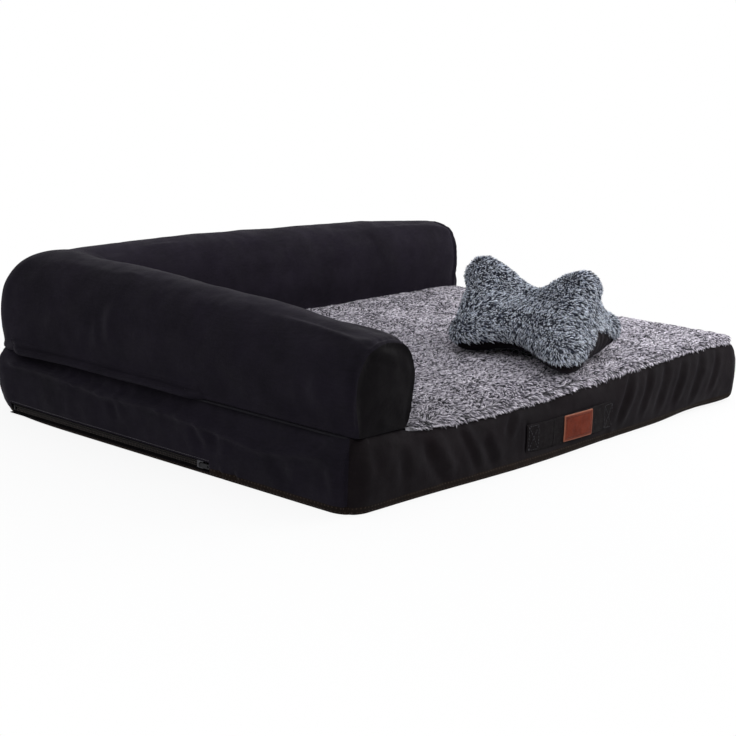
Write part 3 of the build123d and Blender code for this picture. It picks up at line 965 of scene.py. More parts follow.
def wall(z, columns_used):
    """Points of the slab's wall at the given height over each column, before its folds."""
    x, y, nx, ny = ring[columns_used].T
    top = tops[columns_used]
    share = z / top
    upwards = np.sin(math.pi * np.clip(share, 0, 1))
    draw = read(WALL_DRAW, share) * MM

    # The left side leans in above its long crease
    on_left = smooth((-nx - 0.6) / 0.3) * smooth((half_depth - 30 * MM - np.abs(y)) / (30 * MM))
    crease = read(CREASE, y / MM) * MM
    lean = LEFT_LEAN * np.clip((z - crease) / (top - crease), 0, 1) ** 0.6
    draw = (1 - on_left) * draw + on_left * (np.where(share < 0.4, draw, 0) + lean)
    belly = WALL_BELLY * upwards * (1 - 0.6 * on_left)
    belly += on_left * LEFT_ROLL * bell(z - crease + 2.5 * MM, LEFT_ROLL_HEIGHT)

    # The back left corner is full above and tucked in below
    to_back = np.exp(-(((x + half_length) ** 2 + (y - half_depth) ** 2) / TUCK_REACH ** 2))
    belly += 2 * MM * to_back * upwards
    draw += TUCK * to_back * (1 - np.clip(share, 0, 1)) ** 3

    # The front's lower edge runs in a soft wave along the floor
    on_front = smooth((-ny - 0.6) / 0.3)
    sag = 9 * MM * bell(x + 0.10, 0.17) - 5 * MM * bell(x - 0.31, 0.06)
    belly += on_front * sag * bell(z, 13 * MM)
    belly += 5 * MM * to_back * smooth((share - 0.55) / 0.3)
    out = belly - draw
    z = z + RIGHT_LIFT * smooth((x - 0.18) / 0.25) * over_front(y) * (1 - share) ** 3
    return np.column_stack([x + nx * out, y + ny * out, z * np.ones_like(x)])


front_folds = creases(FRONT, (
    (((424, 440), (432, 462), (447, 484)), 8, 5.0, 2.2),
    (((441, 436), (452, 470)), 6, -1.5, 0.0),
    (((462, 432), (476, 468)), 6, 3.0, 1.6),
    (((484, 440), (493, 466)), 7, 3.5, 1.6),
    (((519, 408), (506, 434)), 5, 3.5, 1.8),
    (((527, 424), (525, 452)), 3.5, 4.0, 1.0),
    (((636, 370), (616, 420)), 5, 4.5, 2.4),
    (((654, 366), (638, 410)), 5, 3.2, 2.2),
    (((671, 362), (654, 408)), 6, 3.4, 2.2),
    (((687, 358), (671, 402)), 5, 2.9, 2.0),
    (((704, 354), (688, 398)), 6, 3.0, 1.9),
    (((719, 351), (706, 390)), 5, 2.2, 1.5),
    (((400, 450), (404, 480)), 8, 2.0, 1.4),
    (((373, 452), (380, 470)), 8, 1.6, 1.0),
))

# The left side's short slanting creases under its seam, each from a pixel, with how far it runs to the
# left and down in pixels, its width and its depth, and then its longer ones
SHORT_FOLDS = (
    (46, 353, 4, 13, 4.5, 2.0), (58, 356, 9, 15, 5.0, 3.0), (69, 362, 5, 10, 4.0, 2.2),
    (81, 364, 12, 17, 5.0, 3.4), (92, 371, 6, 11, 4.2, 2.4), (108, 373, 15, 18, 5.5, 3.2),
    (117, 383, 6, 9, 4.0, 2.6), (133, 384, 14, 15, 5.0, 3.0), (146, 391, 7, 8, 4.0, 2.0),
    (168, 394, 16, 13, 5.5, 2.6), (185, 401, 12, 10, 5.0, 1.8),
)
left_folds = creases(LEFT, [
    (((x, y), (x - across, y + down)), wide, deep, 0.6 * deep)
    for x, y, across, down, wide, deep in SHORT_FOLDS
] + [
    (((190, 424), (204, 452)), 6, 3.0, 2.2),
    (((213, 430), (216, 458)), 7, 2.0, 1.2),
    (((216, 470), (222, 480)), 4, 3.5, 1.5),
    (((232, 472), (236, 484)), 4, 3.0, 1.5),
    (((110, 398), (118, 424)), 6, 1.8, 1.2),
    (((268, 448), (290, 488)), 9, 1.8, 1.4),
    (((320, 462), (330, 500)), 7, 1.8, 1.2),
])
right_folds = [
    ([(half_length, y, 0.082), (half_length, y - 0.012, 0.036)], 6 * MM, 2.4 * MM, 1.6 * MM)
    for y in (-0.27, -0.19, -0.06, 0.05, 0.13, 0.24)
]
back_folds = [
    ([(x, half_depth, 0.080), (x + 0.014, half_depth, 0.030)], 7 * MM, 2.4 * MM, 1.6 * MM)
    for x in (-0.36, -0.27, -0.12, 0.02, 0.16, 0.31, 0.39)
]


def soften(lines, wider, lower, longer=0.0):
    """The creases made wider and lower, and carried on past both ends by a share of their end runs."""
    drawn = []
    for path, width, depth, ridge in lines:
        first, last = np.asarray(path[0]), np.asarray(path[-1])
        path = [first + (first - path[1]) * longer, *path[1:-1], last + (last - path[-2]) * longer]
        drawn.append((path, width * wider, depth * lower, ridge * lower))
    return drawn


def fold_wall(pts):
    """Presses the measured creases, corner seams and small waves into points of the wall."""
    x, y, z = pts.T
    outward = np.zeros_like(pts)
    cx, cy = half_length - corner_radius, half_depth - corner_radius
    outward[:, 0] = np.where(np.abs(x) > cx, np.sign(x) * (np.abs(x) - cx), 0)
    outward[:, 1] = np.where(np.abs(y) > cy, np.sign(y) * (np.abs(y) - cy), 0)
    outward = unit(outward)
    shift = folds(pts, outward, soften(front_folds, 1.2, 0.85, 0.2)) * (outward[:, 1] < -0.5)
    shift += folds(pts, outward, soften(left_folds, 1.15, 1.0)) * (outward[:, 0] < -0.5)
    shift += folds(pts, outward, right_folds) * (outward[:, 0] > 0.5)
    shift += folds(pts, outward, back_folds) * (outward[:, 1] > 0.5)
    shift += 1.3 * MM * layered(pts * (1, 1, 0.6), 0.07, 31) + 0.35 * MM * layered(pts, 0.02, 35)
    shift += 0.8 * MM * crumple(pts, 0.07, 37)
    gather = noise(np.column_stack([x, y, 0 * z]), 0.011, 41)
    shift += 0.8 * MM * gather * fading(top_of(x, y) - z, 14 * MM)
    seam_gap = np.abs(np.abs(y) - (half_depth - corner_seam)) / (1.6 * MM)
    at_corner = (np.abs(x) > cx) & (np.abs(y) > cy)
    shift -= np.where(at_corner, 3.0 * MM * np.exp(-(seam_gap**2)), 0)
    shift += np.where(at_corner, 1.3 * MM * bell(seam_gap - 2.8, 1.4), 0)
    shift *= smooth(z / (8 * MM)) * 0.75 + 0.25

    # Under the handle the wall stays behind the webbing, and round the zip's opening it stays plain
    over_strap = smooth((x - strap_low[0]) / (14 * MM)) * smooth((strap_high[0] - x) / (14 * MM))
    over_strap *= smooth((strap_high[2] + 8 * MM - z) / (8 * MM)) * (outward[:, 1] < -0.5)
    shift -= over_strap * np.maximum(shift + 0.6 * MM, 0)
    bay = smooth((y - base_bay_low[1] + 8 * MM) / (6 * MM))
    bay *= smooth((base_bay_high[1] + 8 * MM - y) / (6 * MM))
    bay *= smooth((base_bay_high[2] + 9 * MM - z) / (8 * MM)) * (outward[:, 0] < -0.9)
    shift *= 1 - bay
    return pts + outward * shift[:, None]


# The photograph's camera puts the handle this far from the model's
HANDLE_SHIFT = np.array([-26 * MM, 0, 0])
strap_low, strap_high = (v + HANDLE_SHIFT for v in span("handle_end_left", "handle_end_right"))


def wall_panel(first, last, heights, turned_in=0.0):
    """The part of the ring between two columns, in rows from low to high, the last one turned inwards."""
    used = [c % columns for c in range(first, last + 1)]
    pts = fold_wall(np.concatenate([wall(h(tops[used]), used) for h in heights]))
    n = len(used)
    if turned_in:
        turned = pts[-n:].copy()
        turned[:, :2] -= ring[used][:, 2:] * turned_in
        turned[:, 2] -= 0.6 * MM
        pts = np.concatenate([pts, turned])
    return pts, strip_faces(len(pts) // n, n), n


def fixed(value):
    """A row at the same height all round."""
    return lambda top: np.full_like(top, value)


def shared(share):
    """A row at a share of the way from the lower zip's opening to the top seam."""
    return lambda top: base_bay_high[2] + share * (top - base_bay_high[2])


upper_rows = [fixed(v * MM) for v in side_rows] + [shared(s) for s in upper_shares]
bay_near = (-half_length - 0.02, base_bay_low[1] - 1 * MM)
bay_far = (-half_length + 0.03, base_bay_high[1] + 1 * MM)
BAY_LIP = (8 * MM, 0, 0)
for k, name in enumerate(("front", "right", "back", "left")):
    pts, faces, n = wall_panel(seam_columns[k], seam_columns[k + 1], upper_rows, turned_in=16 * MM)
    if name == "left":
        middle = [pts[list(f)].mean(axis=0) for f in faces]
        faces = [
            f for f, m in zip(faces, middle)
            if not (base_bay_low[1] < m[1] < base_bay_high[1] and m[2] < base_bay_high[2] - 0.1 * MM)
        ]
    obj = build(f"slab_{name}_cover", pts, faces, shaded_base_cloth if name in ("front", "right") else arm_cloth)
    if name == "left":
        turn_in(obj, (*bay_near, tray_z - 0.5 * MM), (*bay_far, base_bay_high[2] + 0.6 * MM), BAY_LIP)
    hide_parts(f"{name}_panel")
    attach(obj, "bed")
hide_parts("mattress_foam")

# The non-slip cloth under the bed, turned up round its lower edge and open at the lower zip. Beneath,
# its rings narrow to the middle, and only the first stands a little off the floor.
UNDER_RINGS = ((0.985, 0.35), (0.95, 0.0), (0.75, 0.0), (0.5, 0.0), (0.25, 0.0))
pts, faces, n = wall_panel(0, columns - 1, [fixed(v * MM) for v in low_rows])
faces += [(r * n + n - 1, r * n, (r + 1) * n, (r + 1) * n + n - 1) for r in range(len(low_rows) - 1)]


def beside_bay(face):
    """Whether a face of the turned-up edge lies beside the opening for the lower zip."""
    m = pts[list(face)].mean(axis=0)
    over_bay = m[0] < 0 and base_bay_low[1] < m[1] < base_bay_high[1] and m[2] > base_bay_low[2]
    return not (over_bay and abs(m[1]) < half_depth - corner_radius)


faces = [f for f in faces if beside_bay(f)]
firsts = [0] + [len(pts) + k * n for k in range(len(UNDER_RINGS))]
pts = np.concatenate([pts, *(pts[:n] * (share, share, rise) for share, rise in UNDER_RINGS), [[0, 0, 0]]])
for a, b in zip(firsts[:-1], firsts[1:]):
    faces += [(b + i, b + (i + 1) % n, a + (i + 1) % n, a + i) for i in range(n)]
faces += [(len(pts) - 1, firsts[-1] + (i + 1) % n, firsts[-1] + i) for i in range(n)]
tray = build("non_slip_bottom", pts, faces, non_slip_cloth)
turn_in(tray, (*bay_near, base_bay_low[2] - 0.5 * MM), (*bay_far, tray_z + 0.5 * MM), BAY_LIP)
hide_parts("bottom_panel")
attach(tray, "bed")


# The plush top: a backing that rolls over to the front and right seams, and its pile

pile_low, pile_high = span("plush_top")
seat_left, seat_right = inner_x - 14 * MM, pile_high[0]
seat_front, seat_back = pile_low[1], inner_y + 14 * MM
seat_corner = 26 * MM
BACKING_RISE, CROWN, ROLL_WIDTH, SEAT_SINK = 4.6 * MM, 2.2 * MM, 7 * MM, 2.5 * MM


def seat_point(x, y):
    """The backing over a point of the seat's plan, its front right corner rounded."""
    a = np.clip((x - (seat_right - seat_corner)) / seat_corner, 0, 1)
    b = np.clip((seat_front + seat_corner - y) / seat_corner, 0, 1)
    both = (a > 0) & (b > 0)
    px = np.where(both, seat_right - seat_corner + seat_corner * a * np.sqrt(1 - b * b / 2), x)
    py = np.where(both, seat_front + seat_corner - seat_corner * b * np.sqrt(1 - a * a / 2), y)
    to_edge = np.minimum(seat_right - x, y - seat_front)
    roll = np.sqrt(np.clip(1 - (1 - np.clip(to_edge / ROLL_WIDTH, 0, 1)) ** 2, 0, 1))
    edge_top = top_of(px, -half_depth * np.ones_like(py))
    near_front = fading(y - seat_front, 26 * MM)
    right_dip = top_of(seat_right * np.ones_like(px), py) - seam_z
    near_right = fading(seat_right - x, 55 * MM)
    base = seam_z + (edge_top - seam_z) * near_front + right_dip * near_right * (1 - near_front)
    crown = CROWN * smooth(to_edge / (48 * MM))
    z = base - SEAT_SINK + (BACKING_RISE + SEAT_SINK) * roll + crown
    p = np.column_stack([px, py, z])
    z = z + 0.9 * MM * layered(p, 0.045, 51) * smooth(to_edge / (10 * MM))
    return np.column_stack([px, py, z])


# The backing's grid is finer where it rolls over to the seams
SEAT_GRID = 5 * MM
ROLL_PLACES = np.array([0, 0.4, 1, 2, 3, 4.5, 6, 8]) * MM
xs = np.concatenate([np.arange(seat_left, seat_right - 10 * MM, SEAT_GRID), seat_right - ROLL_PLACES[::-1]])
ys = np.concatenate([seat_front + ROLL_PLACES, np.arange(seat_front + 10 * MM, seat_back, SEAT_GRID)])
gx, gy = np.meshgrid(xs, ys)
backing_points = seat_point(gx.ravel(), gy.ravel())
backing = build("plush_backing", backing_points, strip_faces(len(ys), len(xs)), seat_pile)


def paint_points(obj, colours):
    """Stores a colour on each point, for the pile's material."""
    layer = obj.data.color_attributes.new("pile", "FLOAT_COLOR", "POINT")
    flat = np.column_stack([colours, np.ones(len(colours))]).astype(np.float32)
    layer.data.foreach_set("color", flat.ravel())


def shades(count, palette, shares, seed):
    """A colour for each tuft, from a palette in given shares, each a little off."""
    pick = np.random.default_rng(seed)
    chosen = np.array(palette)[pick.choice(len(palette), count, p=shares)]
    return chosen * pick.uniform(0.8, 1.2, (count, 1))


SEAT_PALETTE = [(0.72, 0.68, 0.75), (0.44, 0.41, 0.47), (0.17, 0.16, 0.19), (0.03, 0.028, 0.036)]
SEAT_SHARES = (0.38, 0.24, 0.13, 0.25)
PILLOW_PALETTE = [(0.86, 0.91, 1.0), (0.52, 0.57, 0.68), (0.07, 0.085, 0.14), (0.007, 0.010, 0.026)]
PILLOW_SHARES = (0.40, 0.14, 0.08, 0.38)
grey = 0.16 + 0.10 * noise(backing_points, 0.003, 61)
paint_points(backing, np.column_stack([grey, grey * 0.97, grey * 1.05]))


def along_surface(ways, up):
    """Directions laid flat on the surface that they start from."""
    return unit(ways - up * np.einsum("ij,ij->i", ways, up)[:, None])


# A lock rises steeply to its middle and bends over from there. Its root is sunk by a share of its width.
ROOT_RISE, ROOT_LEAN, ROOT_SINK, MIDDLE_WIDTH = 0.72, 0.69, 0.4, 0.42


def tufts(name, roots, up, lean, length, width, colours, material, ceiling=None, raised=0.10):
    """Locks of pile: bent three-sided spikes, each with its own colour."""
    count = len(roots)
    turn = np.random.default_rng(count).uniform(0, 2 * math.pi, count)
    start = unit(up * ROOT_RISE + lean * ROOT_LEAN)
    end = unit(up * raised + lean * (1 - 0.4 * raised))
    across = unit(np.cross(start, up))
    other = np.cross(start, across)
    L, W = length[:, None], width[:, None]
    middle = roots + start * L * 0.5
    pts = np.zeros((count, 7, 3))
    for k in range(3):
        a = turn + k * 2 * math.pi / 3
        spoke = across * np.cos(a)[:, None] + other * np.sin(a)[:, None]
        pts[:, k] = roots + spoke * W * 0.5 - up * W * ROOT_SINK
        pts[:, 3 + k] = middle + spoke * W * MIDDLE_WIDTH
    pts[:, 6] = middle + end * L * 0.5
    if ceiling is not None:
        pts = ceiling(pts)
    base = 7 * np.arange(count)[:, None]
    corners = ((0, 1, 4, 3), (1, 2, 5, 4), (2, 0, 3, 5), (3, 4, 6), (4, 5, 6), (5, 3, 6))
    loops = np.concatenate([base + np.array(c) for c in corners], axis=1).ravel()
    sizes = np.tile([len(c) for c in corners], count)
    mesh = bpy.data.meshes.new(name)
    mesh.vertices.add(count * 7)
    mesh.vertices.foreach_set("co", pts.ravel())
    mesh.loops.add(len(loops))
    mesh.loops.foreach_set("vertex_index", loops.astype(np.int32))
    mesh.polygons.add(len(sizes))
    mesh.polygons.foreach_set("loop_start", np.concatenate([[0], np.cumsum(sizes)[:-1]]).astype(np.int32))
    mesh.polygons.foreach_set("loop_total", sizes.astype(np.int32))
    mesh.update(calc_edges=True)
    mesh.shade_smooth()

    # Each tuft has a square of its own in the texture space, its sides below and its tip above
    side = math.ceil(math.sqrt(count))
    cell = np.column_stack([np.arange(count) % side, np.arange(count) // side]) / side
    local = []
    for k in range(3):
        local += [(k / 3, 0.05), ((k + 1) / 3, 0.05), ((k + 1) / 3, 0.5), (k / 3, 0.5)]
    for k in range(3):
        local += [(k / 3, 0.5), ((k + 1) / 3, 0.5), ((k + 0.5) / 3, 0.95)]
    local = np.array(local) * 0.86 + 0.07
    uv = cell[:, None, :] + local[None] / side
    layer = mesh.uv_layers.new(name="OFBake")
    layer.data.foreach_set("uv", uv.astype(np.float32).ravel())
    obj = bpy.data.objects.new(name, mesh)
    bpy.context.scene.collection.objects.link(obj)
    mesh.materials.append(material)

    # Painted shade: dark at the roots, deep in the pile, and light at the tips
    tone = np.repeat(colours[:, None, :], 7, axis=1) * np.repeat((0.3, 0.85, 1.3), (3, 3, 1))[:, None]
    paint_points(obj, tone.reshape(-1, 3))
    return obj


SEAT_SPACING, FRINGE_SPACING, FRINGE_INSET, EDGE_GAP = 2.45 * MM, 1.5 * MM, 1.2 * MM, 0.2 * MM
sx, sy = np.meshgrid(
    np.arange(inner_x - 4 * MM, seat_right, SEAT_SPACING),
    np.arange(seat_front, inner_y + 4 * MM, SEAT_SPACING),
)
sx = sx.ravel() + rng.uniform(-0.5, 0.5, sx.size) * SEAT_SPACING
sy = sy.ravel() + rng.uniform(-0.5, 0.5, sy.size) * SEAT_SPACING
inside = (sx < seat_right - EDGE_GAP) & (sy > seat_front + EDGE_GAP)
fringe_x = np.arange(inner_x, seat_right - seat_corner, FRINGE_SPACING)
fringe_y = np.arange(seat_front + seat_corner, inner_y, FRINGE_SPACING)
sx = np.concatenate([sx[inside], fringe_x, np.full(len(fringe_y), seat_right - FRINGE_INSET)])
sy = np.concatenate([sy[inside], np.full(len(fringe_x), seat_front + FRINGE_INSET), fringe_y])
roots = seat_point(sx, sy)
step = 0.5 * MM
du = seat_point(sx + step, sy) - seat_point(sx - step, sy)
dv = seat_point(sx, sy + step) - seat_point(sx, sy - step)
up = unit(np.cross(du, dv), 1e-12)
swirl = 2.2 * noise(roots, 0.03, 71) + 1.3 * noise(roots, 0.012, 73) + rng.uniform(-0.8, 0.8, len(roots))
heading = -0.9 + swirl
lean = np.column_stack([np.cos(heading), np.sin(heading), np.zeros(len(roots))])

# The pile hangs out over the seams, and leans away from the arms
near_edge = np.minimum(seat_right - sx, sy - seat_front) < 6 * MM
toward = np.where((sy - seat_front < seat_right - sx)[:, None], (0, -1.0, 0), (1.0, 0, 0))
lean = np.where(near_edge[:, None], 0.55 * lean + 0.9 * toward, lean)
off_arm = fading(sx - inner_x, 5 * MM)[:, None] * (1.6, 0, 0)
off_arm += fading(inner_y - sy, 5 * MM)[:, None] * (0, -1.6, 0)
lean = along_surface(lean + off_arm, up)
pillow_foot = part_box("pillow_bottom_panel")[0][2]

# The pillow's lobes, each from its middle in the photograph and its radius: two near ones and the far
# right one lie on the seat, and the upper two stand over the middle between the rows
near_left_radius, near_right_radius, far_radius, top_radius = 25.5 * MM, 29.5 * MM, 27 * MM, 27.5 * MM
NEAR_LEFT_PIXEL, NEAR_RIGHT_PIXEL, FAR_RIGHT_PIXEL = (466.0, 333.3), (567.5, 350.5), (601.5, 331.0)
TOP_LEFT_PIXEL, TOP_RIGHT_PIXEL = (485.5, 277.0), (581.0, 292.0)
near_left = seen(*NEAR_LEFT_PIXEL, 2, pillow_foot + near_left_radius)
near_right = seen(*NEAR_RIGHT_PIXEL, 2, pillow_foot + near_right_radius)
far_right = seen(*FAR_RIGHT_PIXEL, 2, pillow_foot + far_radius)
far_left = near_left + far_right - near_right + (0, 0, near_right_radius - near_left_radius)
FRONT_DROOP, DROOP_REACH = 6.5 * MM, 110 * MM
near_right[2] -= FRONT_DROOP
ridge_foot = (near_left + far_left) / 2
ridge_way = (near_right + far_right) / 2 - ridge_foot
ridge_side = np.array([-ridge_way[1], ridge_way[0], 0]) / np.hypot(*ridge_way[:2])


def rests_at(points):
    """The height that the pillow lies at: lower by the front seam, where the plush rolls over."""
    off = np.hypot(points[..., 0] - near_right[0], points[..., 1] - near_right[1])
    return pillow_foot - FRONT_DROOP * smooth(1 - off / DROOP_REACH)


def over_ridge(px, py):
    """Where the ray through a pixel meets the upright plane of the pillow's upper seam."""
    ray = seen(px, py, 0, 0.0) - cam_place
    return cam_place + ray * ((ridge_foot - cam_place) @ ridge_side) / (ray @ ridge_side)


top_left, top_right = over_ridge(*TOP_LEFT_PIXEL), over_ridge(*TOP_RIGHT_PIXEL)
heart_left, heart_right = (near_left + far_left + top_left) / 3, (near_right + far_right + top_right) / 3
rows_of_lobes = (
    (near_left, near_right, near_left_radius, near_right_radius, 0.30),
    (far_left, far_right, near_left_radius, far_radius, 0.30),
    (top_left, top_right, top_radius, top_radius - 1 * MM, 0.79),
)
SIDES = ((0, 2), (1, 2), (0, 1))

# Balls along each row of lobes, narrower and a little higher at the waist, with more between the rows
SKIN, WAIST_LIFT = 2 * MM, 8 * MM
balls = []
for t in np.linspace(0, 1, 13):
    dip = (1 - (2 * t - 1) ** 2) ** 1.7
    heart = heart_left * (1 - t) + heart_right * t
    spine = []
    for first, last, r0, r1, waist in rows_of_lobes:
        p = first * (1 - t) + last * t
        p = heart + (p - heart) * (1 - dip * waist)
        spine.append((p, r0 * (1 - t) + r1 * t - SKIN))
    for p, r in spine[:2]:
        p[2] = max(p[2], rests_at(p) + r) + dip * WAIST_LIFT
    balls += spine
    if 0 < t < 1:
        for i, j in SIDES:
            for share in (0.25, 0.5, 0.75):
                p = spine[i][0] * (1 - share) + spine[j][0] * share
                balls.append((p, (spine[i][1] * (1 - share) + spine[j][1] * share)))
        balls.append((heart, top_radius + 6 * MM))

# Balls that fill each end between its three lobes, with how far they lie inwards and their radius
END_FILL = {(0, 1): (0, 25 * MM), (0, 2): (5 * MM, 23 * MM), (1, 2): (18 * MM, 22 * MM)}
for ends, inwards in ((0, ridge_way), (1, -ridge_way)):
    for i, j in SIDES:
        depth, radius = END_FILL[i, j]
        for share in (0.2, 0.35, 0.5, 0.65, 0.8):
            p = rows_of_lobes[i][ends] * (1 - share) + rows_of_lobes[j][ends] * share
            balls.append((p + inwards / np.linalg.norm(inwards) * depth, radius))
pillow_middle = np.array([p for p, r in balls])[:, :2].mean(axis=0)


PRESSED_REACH, PRESSED_SLOPE = 10 * MM, 0.25


def under_pillow(pts):
    """Presses the pile down where the pillow lies on it, and a little just beside it."""
    flat = pts.reshape(-1, 3)
    near = np.all(np.abs(flat[:, :2] - pillow_middle) < 0.2, axis=1)
    chosen = flat[near]
    ceiling = np.full(len(chosen), FAR)
    for p, r in balls:
        off = np.hypot(chosen[:, 0] - p[0], chosen[:, 1] - p[1])
        beside = np.maximum(off - r, 0)
        under = p[2] - np.sqrt(np.maximum(r * r - np.minimum(off, r) ** 2, 0))
        clear = np.where(off < r, under - 0.5 * MM, FAR)
        if p[2] - r < rests_at(p) + 4 * MM:
            pressed = np.where(beside < PRESSED_REACH, beside * PRESSED_SLOPE, FAR)
            clear = np.minimum(clear, rests_at(p) + 0.5 * MM + pressed)
        ceiling = np.minimum(ceiling, clear)
    chosen[:, 2] = np.minimum(chosen[:, 2], np.maximum(ceiling, rests_at(chosen) - 0.4 * MM))
    flat[near] = chosen
    return flat.reshape(pts.shape)


length = rng.uniform(6, 9, len(roots)) * MM
width = rng.uniform(1.6, 2.5, len(roots)) * MM
tone = shades(len(roots), SEAT_PALETTE, SEAT_SHARES, 11)

# The pile is darker near the arms, whose shade the lamps alone don't give
FRONT_TONE, BACK_SHADE, BACK_SHADE_REACH, SIDE_SHADE, SIDE_SHADE_REACH = 1.34, 0.40, 110 * MM, 0.62, 210 * MM
by_back = fading(inner_y - roots[:, 1], BACK_SHADE_REACH)
by_side = fading(roots[:, 0] - inner_x, SIDE_SHADE_REACH)
tone *= (FRONT_TONE - BACK_SHADE * by_back - SIDE_SHADE * by_side)[:, None]
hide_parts("plush_top")
seat_pieces = [backing]
strips = np.quantile(roots[:, 0], (0, 0.25, 0.5, 0.75, 1))
for k in range(4):
    here = (roots[:, 0] >= strips[k]) & ((roots[:, 0] < strips[k + 1]) | (k == 3))
    made = (v[here] for v in (roots, up, lean, length, width, tone))
    seat_pieces.append(tufts(f"plush_pile_{k + 1}", *made, seat_pile, under_pillow))
for piece in seat_pieces:
    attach(piece, "bed")


# The loose pillow: a stuffed bone with three panels

along = np.array([*ridge_way[:2], 0]) / np.hypot(*ridge_way[:2])
aside = -ridge_side


def pillow_local(points):
    """Across the upper seam and up from the stuffing's middle, at each point's place along the pillow."""
    t = np.clip((points - ridge_foot) @ along / np.linalg.norm(ridge_way[:2]), 0, 1)[:, None]
    off = points - (heart_left * (1 - t) + heart_right * t)
    return off @ aside, off[:, 2]


def set_down(obj, clear):
    """Keeps the pillow's foot this far above the height that it lies at."""
    co = coords(obj)
    co[:, 2] = np.maximum(co[:, 2], rests_at(co) + clear)
    put(obj, co)
    return co


spheres = []
for p, radius in balls:
    bpy.ops.mesh.primitive_ico_sphere_add(subdivisions=3, radius=radius, location=p)
    spheres.append(bpy.context.object)
bpy.ops.object.select_all(action="DESELECT")
for sphere in spheres:
    sphere.select_set(True)
bpy.context.view_layer.objects.active = spheres[0]
bpy.ops.object.join()
pillow = bpy.context.object
bpy.ops.object.transform_apply(location=True, rotation=True, scale=True)
pillow.name = "pillow_body"
pillow.data.materials.clear()
remesh = pillow.modifiers.new("Skin", "REMESH")
remesh.mode = "VOXEL"
remesh.voxel_size = 4 * MM
bpy.ops.object.modifier_apply(modifier=remesh.name)
pillow.data.shade_smooth()
ease(pillow, 7, 0.5)
co = set_down(pillow, 0.3 * MM)
swell(pillow, co[:, 2] < rests_at(co) + 2.5 * MM, pressure=4.0, most=4 * MM, slack=-0.01, stiffness=10.0)
ease(pillow, 2, 0.4)
co = set_down(pillow, 0.3 * MM)


def edge_distance(points):
    """The distance to the nearest of the pillow's three seams, and which panel a point is in."""
    u, z = pillow_local(points)
    bearing = np.arctan2(z, u)
    edges = (math.pi / 2, math.radians(-162), math.radians(-18))
    gaps = [np.abs((bearing - e + math.pi) % (2 * math.pi) - math.pi) for e in edges]
    reach = np.hypot(u, z)
    which = np.where((bearing > edges[2]) & (bearing < edges[0]), 1, 0)
    which = np.where((bearing < edges[2]) & (bearing > edges[1]), 2, which)
    return np.min(gaps, axis=0) * reach, which


gap = edge_distance(co)[0]
shift = -1.8 * MM * bell(gap, 3.0 * MM) + 1.2 * MM * layered(co, 0.035, 81)
put(pillow, co + normals_of(pillow) * shift[:, None])
co = set_down(pillow, 0.2 * MM)
polys = [tuple(p.vertices) for p in pillow.data.polygons]
side_of = edge_distance(np.array([co[list(f)].mean(axis=0) for f in polys]))[1]
facing = normals_of(pillow)
bpy.data.objects.remove(pillow)
for k, (name, node_name, slot_name, material) in enumerate((
    ("pillow_front", "pillow_front_panel", "pillow_plush", pillow_pile),
    ("pillow_back", "pillow_back_panel", "pillow_plush", pillow_pile),
    ("pillow_bottom", "pillow_bottom_panel", "oxford_cloth", shaded_base_cloth),
)):
    pts, chosen = part_of(co, [f for f, w in zip(polys, side_of) if w == k])
    obj = build(name, pts, chosen, material)
    if k < 2:
        g = 0.07 + 0.06 * noise(pts, 0.003, 91)
        paint_points(obj, np.column_stack([g, g * 1.08, g * 1.3]))
    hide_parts(node_name)
    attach(obj, "pillow")
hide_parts("pillow_stuffing")


def pillow_tufts(name, which_side, count, seed):
    """Tufts strewn over one plush panel of the pillow, combed along it and downwards."""
    pick = np.random.default_rng(seed)
    tri = []
    for f, w in zip(polys, side_of):
        if w == which_side:
            tri += [(f[0], f[k], f[k + 1]) for k in range(1, len(f) - 1)]
    tri = np.array(tri)
    a, b, c = co[tri[:, 0]], co[tri[:, 1]], co[tri[:, 2]]
    size = np.linalg.norm(np.cross(b - a, c - a), axis=1)
    i = pick.choice(len(tri), count, p=size / size.sum())
    r1, r2 = pick.random((2, count, 1))
    r1, r2 = np.where(r1 + r2 > 1, 1 - r1, r1), np.where(r1 + r2 > 1, 1 - r2, r2)
    roots = a[i] + r1 * (b[i] - a[i]) + r2 * (c[i] - a[i])
    up = unit(facing[tri[i, 0]])
    roots = roots - up * 0.6 * MM
    way = along * 0.9 + np.array([0, 0, -0.55])
    swing = 0.7 * noise(roots, 0.045, seed + 1) + pick.uniform(-0.65, 0.65, count)
    lean = np.tile(way, (count, 1))
    side = np.cross(up, lean)
    lean = along_surface(lean * np.cos(swing)[:, None] + side * np.sin(swing)[:, None], up)
    tone = shades(count, PILLOW_PALETTE, PILLOW_SHARES, seed + 500)

    def above_foot(pts):
        pts[..., 2] = np.maximum(pts[..., 2], rests_at(pts) + 4.5 * MM)
        return pts

    made = tufts(name, roots, up, lean, pick.uniform(5.5, 9, count) * MM, pick.uniform(1.2, 2.0, count) * MM,
                 tone, pillow_pile, above_foot, raised=0.4)
    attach(made, "pillow")
    return made


pillow_tufts("pillow_front_pile", 0, 19000, 101)
pillow_tufts("pillow_back_pile", 1, 15000, 103)


# The handle: webbing sewn down at both ends, loose between them, with a bare leather patch

left_low, left_high = (v + HANDLE_SHIFT for v in span("handle_end_left"))
right_low, right_high = (v + HANDLE_SHIFT for v in span("handle_end_right"))
grip_low, grip_high = (v + HANDLE_SHIFT for v in span("handle_grip"))
patch_low, patch_high = (v + HANDLE_SHIFT for v in span("handle_patch"))
STRAP_GAP, STRAP_THICK, STRAP_SWELL = 0.3 * MM, 1.6 * MM, 1.2 * MM


def strap_line(x):
    """How far the strap's middle stands off the slab between its sewn ends."""
    t = (x - left_low[0]) / (right_high[0] - left_low[0])
    bow = 2.4 * MM * np.sin(math.pi * np.clip(t, 0, 1)) ** 0.7
    wave = 0.5 * MM * np.sin(x / (19 * MM))
    return bow + wave


